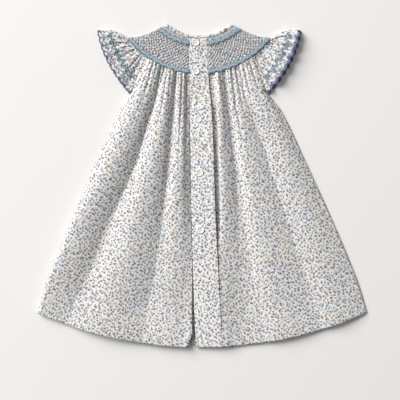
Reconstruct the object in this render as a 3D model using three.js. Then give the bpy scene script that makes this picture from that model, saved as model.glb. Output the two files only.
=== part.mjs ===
// A toddler's smocked bishop dress, laid flat with its buttoned side up.
// Millimetres. X runs across the dress, +Y towards the neck, +Z up from the surface it lies on.
// The yoke is a set of arcs about one centre, and the skirt's hem is an arc about a higher one.
import * as THREE from "three";

// Yoke and neck
const YOKE_CENTRE = new THREE.Vector2(-4.6, 300.5);
const NECK_RADIUS = 76.5; // the neck's edge
const BAND_RADIUS = 81.5; // the lower edge of the neck band
const YOKE_RADIUS = 135; // the smocked yoke's lower edge
const NECK_ANGLE = 39; // degrees from the centre line to the shoulder, at the neck
const SHOULDER_ANGLE = 53; // the same at the yoke's lower edge
const ARMHOLE_ANGLE = 36.5; // where the sleeve's seam leaves the yoke

// Skirt
const FAN_TOP = 372.3; // Y of the point that the hem and the folds run round
const HEM_RADIUS = 615;
const HEM_ANGLE = 23.7; // degrees from the centre line to a hem corner
const UNDERARM = { half: 100.5, y: 140 }; // half is measured from the yoke's middle
const RAGLAN_SHARE = 0.15; // the share of the skirt's side that lies beside the sleeve
const SIDE_SEAM = [
  { y: 140, left: -105.1, right: 95.9 },
  { y: 109, left: -125.0, right: 119.5 },
  { y: 37.5, left: -158.5, right: 153.5 },
  { y: -52.5, left: -196.0, right: 194.7 },
  { y: -142.5, left: -232.5, right: 232.0 },
  { y: -190.8, left: -247.2, right: 247.2 },
];
const SIDE_ROLL = 9; // the width over which the front turns down to the side seam
const BACK_INSET = 2.5; // how far the hidden back lies inside the front's hem and sides

// Cloth
const WALL = 1.1;
const SEAM_GAP = 0.35;
const BACK_TOP = 1.2; // the back skirt lies on the surface and is this thick
const BACK_YOKE_TOP = 2.2;
const FRONT_UNDER = BACK_TOP + SEAM_GAP; // no part of the front skirt comes lower than this
const STEEPEST_WALL = 2.1; // a steep fold's wall, measured straight down

// Button placket
const PLACKET = [
  { y: 222, left: -19.9, right: 7.9 },
  { y: 165, left: -19.2, right: 9.4 },
  { y: 97.5, left: -18.3, right: 15.2 },
  { y: -37.5, left: -16.0, right: 19.8 },
  { y: -153, left: -12.8, right: 25.7 },
  { y: -243, left: -9.3, right: 30.5 },
];
const PLACKET_WALL = 1.5;
const UNDERLAP_WALL = 1.1;
const UNDERLAP_SHORT = 6; // the button stand ends this far inside the placket's right edge
const SLIT = { from: -97, to: -225, width: 4.2, corner: 8, cornerFrom: -220 };
const BUTTON_RADIUS = 5.4;
const BUTTON_THICK = 2.2;
const BUTTONS = [
  { x: -9.8, y: 212.8 },
  { x: -9.3, y: 170.3 },
  { x: -5.9, y: 98.6 },
  { x: -4.0, y: 18.2 },
  { x: -2.3, y: -66.9 },
];

// Gathers under the smocking, on each half of the front
const GATHERS = 10;
const GATHER_HEIGHT = 1.5;
const COLUMNS_PER_GATHER = 4;

// Main folds of the skirt, from the left side seam to the right one. Angles and half-widths are
// degrees about the fan point. The four columns are at the yoke, one third, two thirds and the hem.
const FOLDS = [
  {
    crest: [-20.6, -21.2, -22.4, -22.4],
    height: [4.2, 8.0, 6.6, 3.2],
    left: [3.4, 3.4, 2.4, 2.0],
    right: [4.8, 5.1, 5.2, 3.6],
  },
  {
    crest: [-13.6, -12.9, -13.6, -14.2],
    height: [4.2, 8.0, 7.0, 4.8],
    left: [2.2, 3.2, 3.6, 4.6],
    right: [2.6, 4.2, 5.3, 5.6],
  },
  {
    crest: [-8.4, -6.6, -5.8, -5.6],
    height: [3.8, 6.4, 5.0, 3.6],
    left: [2.4, 2.1, 2.5, 3.0],
    right: [2.6, 3.0, 3.2, 3.2],
  },
  {
    crest: [5.6, 4.9, 4.5, 4.6],
    height: [3.6, 5.6, 4.6, 2.8],
    left: [1.8, 1.7, 1.6, 2.0],
    right: [2.8, 3.7, 4.2, 4.2],
  },
  {
    crest: [10.4, 10.6, 11.0, 11.4],
    height: [3.8, 6.4, 5.4, 3.8],
    left: [2.0, 2.0, 2.3, 2.6],
    right: [4.2, 5.6, 5.6, 5.6],
  },
  {
    crest: [18.6, 20.4, 20.0, 19.4],
    height: [3.6, 5.2, 4.6, 4.0],
    left: [4.0, 4.2, 3.4, 2.6],
    right: [4.0, 3.6, 4.0, 4.0],
  },
];
const FLOOR_OF_FOLDS = [4.6, 3.6, 3.2, 3.0]; // the outer face between the folds, at the same places

// Smocked yoke
const YOKE_UNDER = BACK_YOKE_TOP + SEAM_GAP;
const YOKE_TOP = 5.2;
const SMOCKING_HEIGHT = 0.9;
const YOKE_COLUMNS = 24;
const YOKE_ROWS = 14;
const SMOCKED = { from: 0.22, to: 0.9 };
const CABLE_THICK = 1.0;
const NECK_CABLE = { from: 0.11, to: 0.22 };
const YOKE_CABLE = { from: 0.9, to: 0.995 };
const CABLE_WAVE = 0.012;

// Flutter sleeves. Positions are for the left one, and the right one is its mirror image.
const SLEEVE_BELLY = new THREE.Vector2(-145.0, 184.5);
const SLEEVE_TIP = new THREE.Vector2(-151.8, 229.6);
const SHOULDER_BOW = 4.5; // how far the shoulder fold curves up
const FLUTES = 5.5;
const FLUTE_HEIGHT = 3.0;
const SLEEVE_START = 4.9; // the upper layer's outer face at the yoke
const SLEEVE_LOFT = 6.6; // how much higher the free edge stands
const SHOULDER_TURN = 2.2; // how far the fold at the shoulder bulges out
const SLEEVE_ROWS = [0, 0.25, 0.5, 0.75, 1];
const SCALLOPS = 9; // on each layer
const SCALLOP_STEPS = 4;
const SCALLOP_DEPTH = 2.4;
const EDGING_WIDTH = 2.6;
const TRIM = { at: 0.7, wave: 0.06, width: 0.055, from: 3, to: 34 };

const radians = THREE.MathUtils.degToRad;
const degreesOf = THREE.MathUtils.radToDeg;
const { lerp, clamp, smoothstep } = THREE.MathUtils;
const range = (n) => Array.from({ length: n }, (_, i) => i);
const vec = (x, y, z) => new THREE.Vector3(x, y, z);
const flat = (x, y) => new THREE.Vector2(x, y);

// A smooth value from one column of a table whose rows run down the dress.
function fromTable(rows, column, y) {
  const last = rows.length - 1;
  const below = rows.findIndex((row) => row.y <= y);
  const i = clamp(below < 0 ? last : below, 1, last);
  const [a, b] = [rows[i - 1], rows[i]];
  const run = b.y - a.y;
  const slope = (j, k) => (rows[k][column] - rows[j][column]) / (rows[k].y - rows[j].y);
  const leaving = slope(Math.max(i - 2, 0), i) * run;
  const arriving = slope(i - 1, Math.min(i + 1, last)) * run;
  const s = clamp((y - a.y) / run, 0, 1);
  const drop = a[column] - b[column];
  return (
    a[column] +
    s * leaving +
    s * s * (-3 * drop - 2 * leaving - arriving) +
    s * s * s * (2 * drop + leaving + arriving)
  );
}

// A smooth value between four columns; t runs from 0 at the yoke to 1 at the hem.
function along(columns, t) {
  const at = clamp(t, 0, 1) * (columns.length - 1);
  const i = Math.min(Math.floor(at), columns.length - 2);
  return lerp(columns[i], columns[i + 1], smoothstep(at - i, 0, 1));
}

// A point inside four edges, each given as a function from 0 to 1.
function patch(u, t, edges) {
  const across = edges.start(t).lerp(edges.end(t), u);
  const down = edges.top(u).lerp(edges.bottom(u), t);
  const above = edges.top(0).lerp(edges.top(1), u);
  const corners = above.lerp(edges.bottom(0).lerp(edges.bottom(1), u), t);
  return across.add(down).sub(corners);
}

// A closed mesh from points and triangles, with its faces turned to point out.
function facetedMesh(name, finish, points, index) {
  let volume = 0;
  for (let k = 0; k < index.length; k += 3) {
    const [a, b, c] = [points[index[k]], points[index[k + 1]], points[index[k + 2]]];
    volume += a.dot(b.clone().cross(c));
  }
  if (volume < 0)
    for (let k = 0; k < index.length; k += 3)
      [index[k + 1], index[k + 2]] = [index[k + 2], index[k + 1]];
  const geometry = new THREE.BufferGeometry().setFromPoints(points).setIndex(index);
  geometry.computeVertexNormals();
  const mesh = new THREE.Mesh(geometry, new THREE.MeshStandardMaterial(finish));
  mesh.name = name;
  return mesh;
}

// A mesh that closes the space between two grids of points, rim included.
function wall(name, finish, outer, inner, alternate = false) {
  const rows = outer.length;
  const columns = outer[0].length;
  const at = (side, i, j) => (side * rows + i) * columns + j;
  const index = [];
  const quad = (a, b, c, d, other = false) =>
    index.push(...(other ? [a, b, d, b, c, d] : [a, b, c, a, c, d]));
  for (const i of range(rows - 1))
    for (const j of range(columns - 1)) {
      const other = alternate && (i + j) % 2 === 1;
      quad(at(0, i, j), at(0, i + 1, j), at(0, i + 1, j + 1), at(0, i, j + 1), other);
      quad(at(1, i, j), at(1, i, j + 1), at(1, i + 1, j + 1), at(1, i + 1, j));
    }
  const right = columns - 1;
  for (const i of range(rows - 1)) {
    quad(at(0, i, 0), at(1, i, 0), at(1, i + 1, 0), at(0, i + 1, 0));
    quad(at(0, i + 1, right), at(1, i + 1, right), at(1, i, right), at(0, i, right));
  }
  const low = rows - 1;
  for (const j of range(columns - 1)) {
    quad(at(0, 0, j + 1), at(1, 0, j + 1), at(1, 0, j), at(0, 0, j));
    quad(at(0, low, j), at(1, low, j), at(1, low, j + 1), at(0, low, j + 1));
  }
  return facetedMesh(name, finish, [...outer.flat(), ...inner.flat()], index);
}

const PRINT = { color: 0xdcdfe2, roughness: 0.9, metalness: 0 };
const SMOCKING = { color: 0xb9bdbd, roughness: 0.9, metalness: 0 };
const PALE_BLUE = { color: 0x8fb2cc, roughness: 0.6, metalness: 0 };
const TEAL = { color: 0x86b0bd, roughness: 0.6, metalness: 0 };
const INDIGO = { color: 0x454a7c, roughness: 0.6, metalness: 0 };
const SHELL = { color: 0xf1ece2, roughness: 0.3, metalness: 0 };

// The same points lowered by the wall's thickness, which grows on a steep slope so that the cloth
// keeps its thickness there, and never comes below the floor.
function lowered(grid, floor) {
  const last = (list) => list.length - 1;
  return grid.map((row, i) =>
    row.map((p, j) => {
      const down = grid[Math.min(i + 1, last(grid))][j].clone().sub(grid[Math.max(i - 1, 0)][j]);
      const across = row[Math.min(j + 1, last(row))].clone().sub(row[Math.max(j - 1, 0)]);
      const normal = down.cross(across).normalize();
      const drop = Math.min(WALL / Math.abs(normal.z), STEEPEST_WALL);
      return vec(p.x, p.y, Math.max(p.z - drop, floor));
    }),
  );
}

// A point of a panel's outer face, between its grid points.
function onPanel(grid, row, column) {
  const i = Math.min(Math.floor(row), grid.length - 2);
  const j = Math.min(Math.floor(column), grid[0].length - 2);
  const upper = grid[i][j].clone().lerp(grid[i][j + 1], column - j);
  return upper.lerp(grid[i + 1][j].clone().lerp(grid[i + 1][j + 1], column - j), row - i);
}

const yokeArc = (radius, degrees) =>
  flat(
    YOKE_CENTRE.x + radius * Math.sin(radians(degrees)),
    YOKE_CENTRE.y - radius * Math.cos(radians(degrees)),
  );
const hemArc = (radius, degrees) =>
  flat(radius * Math.sin(radians(degrees)), FAN_TOP - radius * Math.cos(radians(degrees)));

// How far the left panel's edge stands off the placket, where the front falls open.
function slit(y) {
  const opened = smoothstep(-y, -SLIT.from, -SLIT.to) * SLIT.width;
  return SEAM_GAP + opened + smoothstep(-y, -SLIT.cornerFrom, HEM_RADIUS - FAN_TOP) * SLIT.corner;
}

// The front's edge beside the placket, at a height Y of the plan.
function openingEdge(side, y) {
  if (side < 0) return flat(fromTable(PLACKET, "left", y) - slit(y), y);
  return flat(fromTable(PLACKET, "right", y) + SEAM_GAP, y);
}

// Where that edge crosses an arc about a centre.
function openingOnArc(side, centre, radius) {
  let y = centre.y - radius;
  for (let pass = 0; pass < 6; pass++) {
    const x = openingEdge(side, y).x - centre.x;
    y = centre.y - Math.sqrt(radius * radius - x * x);
  }
  return openingEdge(side, y);
}

// The skirt's side: straight beside the sleeve, then along the side seam to the hem.
function skirtSide(side, t) {
  const corner = yokeArc(YOKE_RADIUS + SEAM_GAP, side * ARMHOLE_ANGLE);
  const underarm = flat(YOKE_CENTRE.x + side * UNDERARM.half, UNDERARM.y);
  if (t <= RAGLAN_SHARE) return corner.lerp(underarm, t / RAGLAN_SHARE);
  const low = SIDE_SEAM[SIDE_SEAM.length - 1].y;
  const y = lerp(UNDERARM.y, low, (t - RAGLAN_SHARE) / (1 - RAGLAN_SHARE));
  return flat(fromTable(SIDE_SEAM, side < 0 ? "left" : "right", y), y);
}

const fanCentre = flat(0, FAN_TOP);
const angleAbout = (centre, p) => degreesOf(Math.atan2(p.x - centre.x, centre.y - p.y));

// Skirt plan: side -1 is the left half and 1 the right. u runs from the side to the placket,
// t from the yoke to the hem.
function skirtPlan(side, u, t) {
  const top = openingOnArc(side, YOKE_CENTRE, YOKE_RADIUS + SEAM_GAP);
  const bottom = openingOnArc(side, fanCentre, HEM_RADIUS);
  const topAngle = angleAbout(YOKE_CENTRE, top);
  const hemAngle = angleAbout(fanCentre, bottom);
  return patch(u, t, {
    top: (a) => yokeArc(YOKE_RADIUS + SEAM_GAP, lerp(side * ARMHOLE_ANGLE, topAngle, a)),
    bottom: (a) => hemArc(HEM_RADIUS, lerp(side * HEM_ANGLE, hemAngle, a)),
    start: (a) => skirtSide(side, a),
    end: (a) => openingEdge(side, lerp(top.y, bottom.y, a)),
  });
}

// The outer face of the front skirt over a point of the plan.
function skirtHeight(side, u, t) {
  const p = skirtPlan(side, u, t);
  const degrees = angleAbout(fanCentre, p);
  let z = along(FLOOR_OF_FOLDS, t);
  for (const fold of FOLDS) {
    const offset = degrees - along(fold.crest, t);
    const width = along(offset < 0 ? fold.left : fold.right, t);
    if (Math.abs(offset) < width)
      z += along(fold.height, t) * 0.5 * (1 + Math.cos((Math.PI * offset) / width));
  }
  // Each gather runs down for its own length before it melts into a main fold.
  const gather = u * GATHERS;
  const length = 0.15 + 0.07 * Math.sin(2.3 * Math.floor(gather) + side);
  const fade = Math.exp(-Math.pow(t / length, 1.4));
  z -= GATHER_HEIGHT * fade * Math.cos(2 * Math.PI * gather);
  // The front turns down to the side seam below the underarm.
  const fromSide = p.distanceTo(skirtPlan(side, 0, t));
  const roll = Math.sqrt(1 - Math.pow(1 - Math.min(fromSide / SIDE_ROLL, 1), 2));
  const below = smoothstep(t, RAGLAN_SHARE - 0.04, RAGLAN_SHARE + 0.03);
  const seam = FRONT_UNDER + WALL;
  return lerp(Math.max(z, seam), lerp(seam, Math.max(z, seam), roll), below);
}

const BELOW_UNDERARM = [0.21, 0.29, 0.38, 0.48, 0.58, 0.69, 0.8, 0.9, 1];
const SKIRT_ROWS = [0, 0.02, 0.055, 0.1, RAGLAN_SHARE, ...BELOW_UNDERARM];

// One half of the front skirt: a wall that follows the folds.
function frontSkirt(name, side) {
  const columns = GATHERS * COLUMNS_PER_GATHER;
  const outer = SKIRT_ROWS.map((t) =>
    range(columns + 1).map((k) => {
      const p = skirtPlan(side, k / columns, t);
      return vec(p.x, p.y, skirtHeight(side, k / columns, t));
    }),
  );
  return wall(name, PRINT, outer, lowered(outer, FRONT_UNDER));
}

// The whole back skirt, flat on the surface.
function backSkirt(name) {
  const columns = 16;
  const rows = [0, RAGLAN_SHARE, 0.3, 0.5, 0.7, 0.85, 1];
  const inset = (side, t) => {
    const p = skirtSide(side, t);
    p.x -= side * BACK_INSET * smoothstep(t, RAGLAN_SHARE, 0.4);
    p.y += BACK_INSET * smoothstep(t, 0.6, 1);
    return p;
  };
  const radius = HEM_RADIUS - BACK_INSET;
  const hemAngle = (side) => angleAbout(fanCentre, inset(side, 1));
  const plan = (u, t) =>
    patch(u, t, {
      top: (a) => yokeArc(YOKE_RADIUS + SEAM_GAP, lerp(-ARMHOLE_ANGLE, ARMHOLE_ANGLE, a)),
      bottom: (a) => {
        if (a === 0 || a === 1) return inset(2 * a - 1, 1);
        return hemArc(radius, lerp(hemAngle(-1), hemAngle(1), a));
      },
      start: (a) => inset(-1, a),
      end: (a) => inset(1, a),
    });
  const sheet = (z) =>
    rows.map((t) =>
      range(columns + 1).map((k) => {
        const p = plan(k / columns, t);
        return vec(p.x, p.y, z);
      }),
    );
  return wall(name, PRINT, sheet(BACK_TOP), sheet(0));
}

const shoulderAngle = (radius) =>
  lerp(NECK_ANGLE, SHOULDER_ANGLE, (radius - NECK_RADIUS) / (YOKE_RADIUS - NECK_RADIUS));

// Yoke plan: s runs from the placket to the shoulder, t from the neck band to the lower edge.
function yokePlan(side, s, t) {
  const radius = lerp(BAND_RADIUS + SEAM_GAP, YOKE_RADIUS, t);
  const from = angleAbout(YOKE_CENTRE, openingOnArc(side, YOKE_CENTRE, radius));
  return yokeArc(radius, lerp(from, side * shoulderAngle(radius), s));
}

// The smocked front yoke: level, rounded down at the shoulder, with its cells raised.
function yokeFace(side) {
  return range(YOKE_ROWS + 1).map((i) =>
    range(YOKE_COLUMNS + 1).map((j) => {
      const [s, t] = [j / YOKE_COLUMNS, i / YOKE_ROWS];
      const p = yokePlan(side, s, t);
      const shoulder = Math.sqrt(1 - 0.75 * Math.pow(clamp((s - 0.92) / 0.08, 0, 1), 2));
      const inField = t > SMOCKED.from && t < SMOCKED.to && j > 0 && j < YOKE_COLUMNS;
      const raised = inField && (i + j) % 2 === 0 ? SMOCKING_HEIGHT : 0;
      return vec(p.x, p.y, lerp(YOKE_UNDER + WALL, YOKE_TOP, shoulder) + raised);
    }),
  );
}

function frontYoke(name, side) {
  const outer = yokeFace(side);
  const inner = outer.map((row) => row.map((p) => vec(p.x, p.y, YOKE_UNDER)));
  return wall(name, SMOCKING, outer, inner, true);
}

function backYoke(name) {
  const columns = 20;
  const sheet = (z) =>
    range(4).map((i) => {
      const radius = lerp(BAND_RADIUS + SEAM_GAP, YOKE_RADIUS, i / 3);
      const end = shoulderAngle(radius);
      return range(columns + 1).map((k) => {
        const p = yokeArc(radius, lerp(-end, end, k / columns));
        return vec(p.x, p.y, z);
      });
    });
  return wall(name, SMOCKING, sheet(BACK_YOKE_TOP), sheet(0));
}

// A row of cable stitch that lies on the yoke, with waves along both edges.
function cable(name, side, band, finish) {
  const face = yokeFace(side);
  const lines = range(YOKE_COLUMNS + 1).map((j) => {
    const wave = CABLE_WAVE * (j % 2 === 0 ? 1 : -1);
    return [0, 0.5, 1].map((across) => {
      const t = lerp(band.from, band.to, across) + (across === 1 ? 0 : wave);
      return onPanel(face, t * YOKE_ROWS, clamp(j, 0.2, YOKE_COLUMNS - 0.2));
    });
  });
  const raised = (heights) =>
    lines.map((line) => line.map((p, k) => vec(p.x, p.y, p.z + heights[k])));
  const top = SEAM_GAP + CABLE_THICK;
  const outer = raised([top - 0.3, top, top - 0.3]);
  return wall(name, finish, outer, raised([SEAM_GAP, SEAM_GAP, SEAM_GAP]));
}

// A rolled strip along the neck, between two angles.
function neckBand(name, from, to, low, high) {
  const steps = Math.max(6, Math.round(Math.abs(to - from) / 3.5));
  const section = [
    [0, 0],
    [1, 0],
    [1, 0.6],
    [0.72, 1],
    [0.28, 1],
    [0, 0.6],
  ];
  const points = [];
  for (const k of range(steps + 1))
    for (const [across, rise] of section) {
      const p = yokeArc(lerp(NECK_RADIUS, BAND_RADIUS, across), lerp(from, to, k / steps));
      points.push(vec(p.x, p.y, lerp(low, high, rise)));
    }
  const n = section.length;
  const index = [];
  for (const k of range(steps))
    for (const i of range(n)) {
      const [a, b] = [k * n + i, k * n + ((i + 1) % n)];
      index.push(a, b, b + n, a, b + n, a + n);
    }
  for (const i of range(n - 2)) {
    index.push(0, i + 2, i + 1);
    index.push(steps * n, steps * n + i + 1, steps * n + i + 2);
  }
  return facetedMesh(name, PRINT, points, index);
}

// What the placket's layers lie on: the back yoke, then the thinner back skirt.
const placketBase = (y) => lerp(FRONT_UNDER, YOKE_UNDER, smoothstep(y, 135, 168));
const underlapTop = (y) => placketBase(y) + UNDERLAP_WALL;
const placketTop = (y) => underlapTop(y) + SEAM_GAP + PLACKET_WALL;

// A strip down the front between two edges, from the neck band to the hem arc.
function frontStrip(name, edges, topFace, thickness, acrosses, shorter) {
  const steps = 18;
  const radius = BAND_RADIUS + SEAM_GAP;
  const end = (x, share) => {
    const dx = x - YOKE_CENTRE.x;
    const high = YOKE_CENTRE.y - Math.sqrt(radius * radius - dx * dx) - shorter;
    const low = FAN_TOP - Math.sqrt(HEM_RADIUS * HEM_RADIUS - x * x) + shorter;
    return lerp(high, low, share);
  };
  const grid = (drop) =>
    range(steps + 1).map((k) =>
      acrosses.map((across) => {
        let y = end(0, k / steps);
        let x = 0;
        for (let pass = 0; pass < 4; pass++) {
          x = lerp(edges(y)[0], edges(y)[1], across);
          y = end(x, k / steps);
        }
        return vec(x, y, topFace(y, across) - drop);
      }),
    );
  return wall(name, PRINT, grid(0), grid(thickness));
}

function placketOver(name) {
  const edges = (y) => [fromTable(PLACKET, "left", y), fromTable(PLACKET, "right", y)];
  const top = (y, across) => placketTop(y) - 0.5 * (across === 0 || across === 1);
  return frontStrip(name, edges, top, PLACKET_WALL - 0.5, [0, 0.06, 0.5, 0.94, 1], 0);
}

// The button stand under it, which shows where the front falls open.
function placketUnder(name) {
  const edges = (y) => [
    openingEdge(-1, Math.max(y, SLIT.cornerFrom)).x + SEAM_GAP,
    fromTable(PLACKET, "right", y) - UNDERLAP_SHORT,
  ];
  return frontStrip(name, edges, underlapTop, UNDERLAP_WALL, [0, 0.5, 1], 0.8);
}

// A flat button with a rim and a dished middle.
function button(name, { x, y }) {
  const r = BUTTON_RADIUS;
  const profile = [
    [0, 0],
    [0.82 * r, 0],
    [r, 0.4 * BUTTON_THICK],
    [0.88 * r, BUTTON_THICK],
    [0.66 * r, 0.7 * BUTTON_THICK],
    [0, 0.64 * BUTTON_THICK],
  ].map(([radius, z]) => flat(radius, z));
  const geometry = new THREE.LatheGeometry(profile, 14);
  geometry.rotateX(Math.PI / 2);
  const mesh = new THREE.Mesh(geometry, new THREE.MeshStandardMaterial(SHELL));
  mesh.name = name;
  mesh.position.set(x, y, placketTop(y) + SEAM_GAP);
  return mesh;
}

// Sleeve plan: q runs from the raglan seam to the shoulder fold, t from the yoke to the free edge.
function sleevePlan(q, t) {
  const seam = (a) => skirtSide(-1, a * RAGLAN_SHARE).sub(flat(SEAM_GAP + 0.1, 0));
  const start = seam(0);
  const end = yokeArc(YOKE_RADIUS + SEAM_GAP, -shoulderAngle(YOKE_RADIUS));
  const startAngle = angleAbout(YOKE_CENTRE, start);
  const underarm = seam(1);
  return patch(q, t, {
    top: (a) => {
      if (a === 0) return start.clone();
      return yokeArc(YOKE_RADIUS + SEAM_GAP, lerp(startAngle, angleAbout(YOKE_CENTRE, end), a));
    },
    bottom: (a) => {
      const low = underarm.clone().lerp(SLEEVE_BELLY, a);
      return low.lerp(SLEEVE_BELLY.clone().lerp(SLEEVE_TIP, a), a);
    },
    start: seam,
    end: (a) => end.clone().lerp(SLEEVE_TIP, a).add(flat(0, SHOULDER_BOW * Math.sin(Math.PI * a))),
  });
}

// The upper layer's outer face: flutes that grow from the yoke to the free edge.
function sleeveHeight(q, t) {
  const open = smoothstep(q, 0, 0.25);
  const closed = 1 - 0.45 * smoothstep(q, 0.85, 1);
  const loft = SLEEVE_LOFT * Math.pow(t, 1.2) * lerp(0.25, 1, open) * closed;
  const ends = smoothstep(q, 0, 0.1) * (1 - smoothstep(q, 0.94, 1));
  const flute = Math.sin(2 * Math.PI * FLUTES * q) * ends;
  return SLEEVE_START + loft + FLUTE_HEIGHT * (0.35 + 0.65 * t) * (0.3 + 0.7 * t) * flute;
}

const outwardAt = (q) => {
  const step = 0.01;
  const edge = sleevePlan(Math.min(q + step, 1), 1).sub(sleevePlan(Math.max(q - step, 0), 1));
  return flat(-edge.y, edge.x).normalize();
};

// A stop on the way round a sleeve: its q, and how far it has turned over the shoulder fold,
// from 0 on the upper layer to 1 on the layer that lies on the surface.
const acrossLayer = range(SCALLOPS * SCALLOP_STEPS + 1).map((k) => k / (SCALLOPS * SCALLOP_STEPS));
const SLEEVE_STOPS = [
  ...acrossLayer.map((q) => ({ q, turn: 0 })),
  ...[0.25, 0.5, 0.75].map((turn) => ({ q: 1, turn })),
  ...acrossLayer.map((q) => ({ q: 1 - q, turn: 1 })),
];
const scallop = (q) => Math.abs(Math.sin(Math.PI * SCALLOPS * q));

// A point of a sleeve's face; depth 0 is the outer one and WALL the inner one, and beyond is how
// far the point lies outside the free edge.
function sleevePoint({ q, turn }, t, depth, beyond = 0) {
  const out = outwardAt(q);
  const plan = sleevePlan(q, t);
  if (t === 1) plan.addScaledVector(out, SCALLOP_DEPTH * scallop(q) + beyond);
  const top = sleeveHeight(q, t);
  const half = top / 2 - depth;
  const reach = (SHOULDER_TURN - depth) * Math.sin(Math.PI * turn);
  return vec(plan.x - 0.2 * reach, plan.y + reach, top / 2 + half * Math.cos(Math.PI * turn));
}

const mirrored = (grid, side) =>
  side < 0 ? grid : grid.map((row) => row.map((p) => vec(2 * YOKE_CENTRE.x - p.x, p.y, p.z)));

const sleeveFace = (depth) =>
  SLEEVE_STOPS.map((stop) => SLEEVE_ROWS.map((t) => sleevePoint(stop, t, depth)));

function sleeve(name, side) {
  return wall(name, PRINT, mirrored(sleeveFace(0), side), mirrored(sleeveFace(WALL), side));
}

// Scalloped edging outside the free edge, round both layers.
function sleeveEdging(name, side) {
  const face = (depth) =>
    SLEEVE_STOPS.map((stop) =>
      [SEAM_GAP, SEAM_GAP + EDGING_WIDTH].map((beyond) => sleevePoint(stop, 1, depth, beyond)),
    );
  return wall(name, INDIGO, mirrored(face(0), side), mirrored(face(WALL), side));
}

// A stitched wave on the upper layer, inside the free edge.
function sleeveTrim(name, side) {
  const face = sleeveFace(0);
  const rows = SLEEVE_ROWS.length - 1;
  const lines = range(TRIM.to - TRIM.from + 1).map((k) => {
    const wave = TRIM.wave * Math.cos((2 * Math.PI * k) / SCALLOP_STEPS);
    const at = TRIM.at + wave;
    return [-1, 1].map((a) => onPanel(face, TRIM.from + k, (at + a * TRIM.width) * rows));
  });
  const raised = (height) => lines.map((line) => line.map((p) => vec(p.x, p.y, p.z + height)));
  const low = 1.4 * SEAM_GAP;
  return wall(name, TEAL, mirrored(raised(low + CABLE_THICK), side), mirrored(raised(low), side));
}

const placketMiddle = angleAbout(YOKE_CENTRE, flat(PLACKET[0].left, PLACKET[0].y));
const dress = new THREE.Group();
dress.add(
  backSkirt("skirt_back"),
  frontSkirt("skirt_front_left", -1),
  frontSkirt("skirt_front_right", 1),
  backYoke("yoke_back"),
  frontYoke("yoke_front_left", -1),
  frontYoke("yoke_front_right", 1),
  cable("neck_cable_left", -1, NECK_CABLE, PALE_BLUE),
  cable("neck_cable_right", 1, NECK_CABLE, PALE_BLUE),
  cable("yoke_cable_left", -1, YOKE_CABLE, TEAL),
  cable("yoke_cable_right", 1, YOKE_CABLE, TEAL),
  neckBand("neck_band_back", -NECK_ANGLE, NECK_ANGLE, 0, BACK_YOKE_TOP),
  neckBand("neck_band_left", -NECK_ANGLE, placketMiddle - 0.25, YOKE_UNDER, YOKE_TOP + 0.8),
  neckBand("neck_band_right", placketMiddle, NECK_ANGLE, YOKE_UNDER, YOKE_TOP + 1.1),
  placketUnder("placket_under"),
  placketOver("placket_over"),
  ...BUTTONS.map((place, k) => button(`button_${k + 1}`, place)),
);
for (const [side, word] of [
  [-1, "left"],
  [1, "right"],
])
  dress.add(
    sleeve(`sleeve_${word}`, side),
    sleeveEdging(`sleeve_edge_${word}`, side),
    sleeveTrim(`sleeve_wave_${word}`, side),
  );

// The origin lies under the middle of the dress.
const box = new THREE.Box3().setFromObject(dress);
const middle = box.getCenter(new THREE.Vector3());
dress.position.set(-middle.x, -middle.y, -box.min.z);

export default dress;
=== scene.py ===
"""A toddler's smocked bishop dress, laid flat with its buttoned side up.

The classes hold their sizes in millimetres, in the dress's own plan: X runs across it, +Y towards the
neck and +Z up from the surface it lies on. Points become metres in the frame when a mesh is made.
"""

import logging
import math
from dataclasses import dataclass, field
from enum import Enum
from typing import Any, Callable, Sequence

import bpy
import numpy as np
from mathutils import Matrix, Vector


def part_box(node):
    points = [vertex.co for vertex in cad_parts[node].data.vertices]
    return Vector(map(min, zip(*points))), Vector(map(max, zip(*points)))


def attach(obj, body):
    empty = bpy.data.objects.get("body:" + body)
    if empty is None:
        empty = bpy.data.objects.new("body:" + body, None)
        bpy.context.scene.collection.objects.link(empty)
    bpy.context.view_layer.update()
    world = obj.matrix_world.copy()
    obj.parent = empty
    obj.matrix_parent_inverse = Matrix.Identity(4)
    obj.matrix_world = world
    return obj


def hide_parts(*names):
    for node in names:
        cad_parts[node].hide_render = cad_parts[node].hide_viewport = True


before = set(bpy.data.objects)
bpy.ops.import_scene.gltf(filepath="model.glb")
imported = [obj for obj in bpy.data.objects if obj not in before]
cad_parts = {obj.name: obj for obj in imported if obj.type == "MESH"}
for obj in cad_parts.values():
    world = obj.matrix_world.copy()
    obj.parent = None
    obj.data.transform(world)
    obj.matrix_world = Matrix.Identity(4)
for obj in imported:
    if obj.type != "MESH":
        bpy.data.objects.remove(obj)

Array = np.ndarray
Edge = Callable[[Array], Array]
Pair = tuple[float, float]
Colour = tuple[float, float, float]
Stations = tuple[float, float, float, float]
MM = 0.001
ROOT = "root"
CLOTH_MAP = "cloth"
log = logging.getLogger("dress")


class Side(Enum):
    """A half of the dress, as the picture shows it."""

    LEFT = -1
    RIGHT = 1

    @property
    def word(self) -> str:
        """The side's name as the nodes have it."""
        return self.name.lower()


def lerp(a: Any, b: Any, t: Any) -> Any:
    """The value that lies t of the way from a to b."""
    return a + (b - a) * t


def smoothstep(x: Any, low: float, high: float) -> Array:
    """0 below low, 1 above high, and a smooth rise between them."""
    t = np.clip((np.asarray(x, float) - low) / (high - low), 0, 1)
    return t * t * (3 - 2 * t)


def along(columns: Sequence[float], t: Any) -> Array:
    """A smooth value between evenly spaced stations.

    Args:
        columns: the values at the stations, from the yoke to the hem.
        t: 0 at the yoke and 1 at the hem.

    Returns:
        The value at each t.
    """
    stations = np.asarray(columns, float)
    at = np.clip(np.asarray(t, float), 0, 1) * (len(stations) - 1)
    i = np.minimum(at.astype(int), len(stations) - 2)
    return lerp(stations[i], stations[i + 1], smoothstep(at - i, 0, 1))


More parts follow.
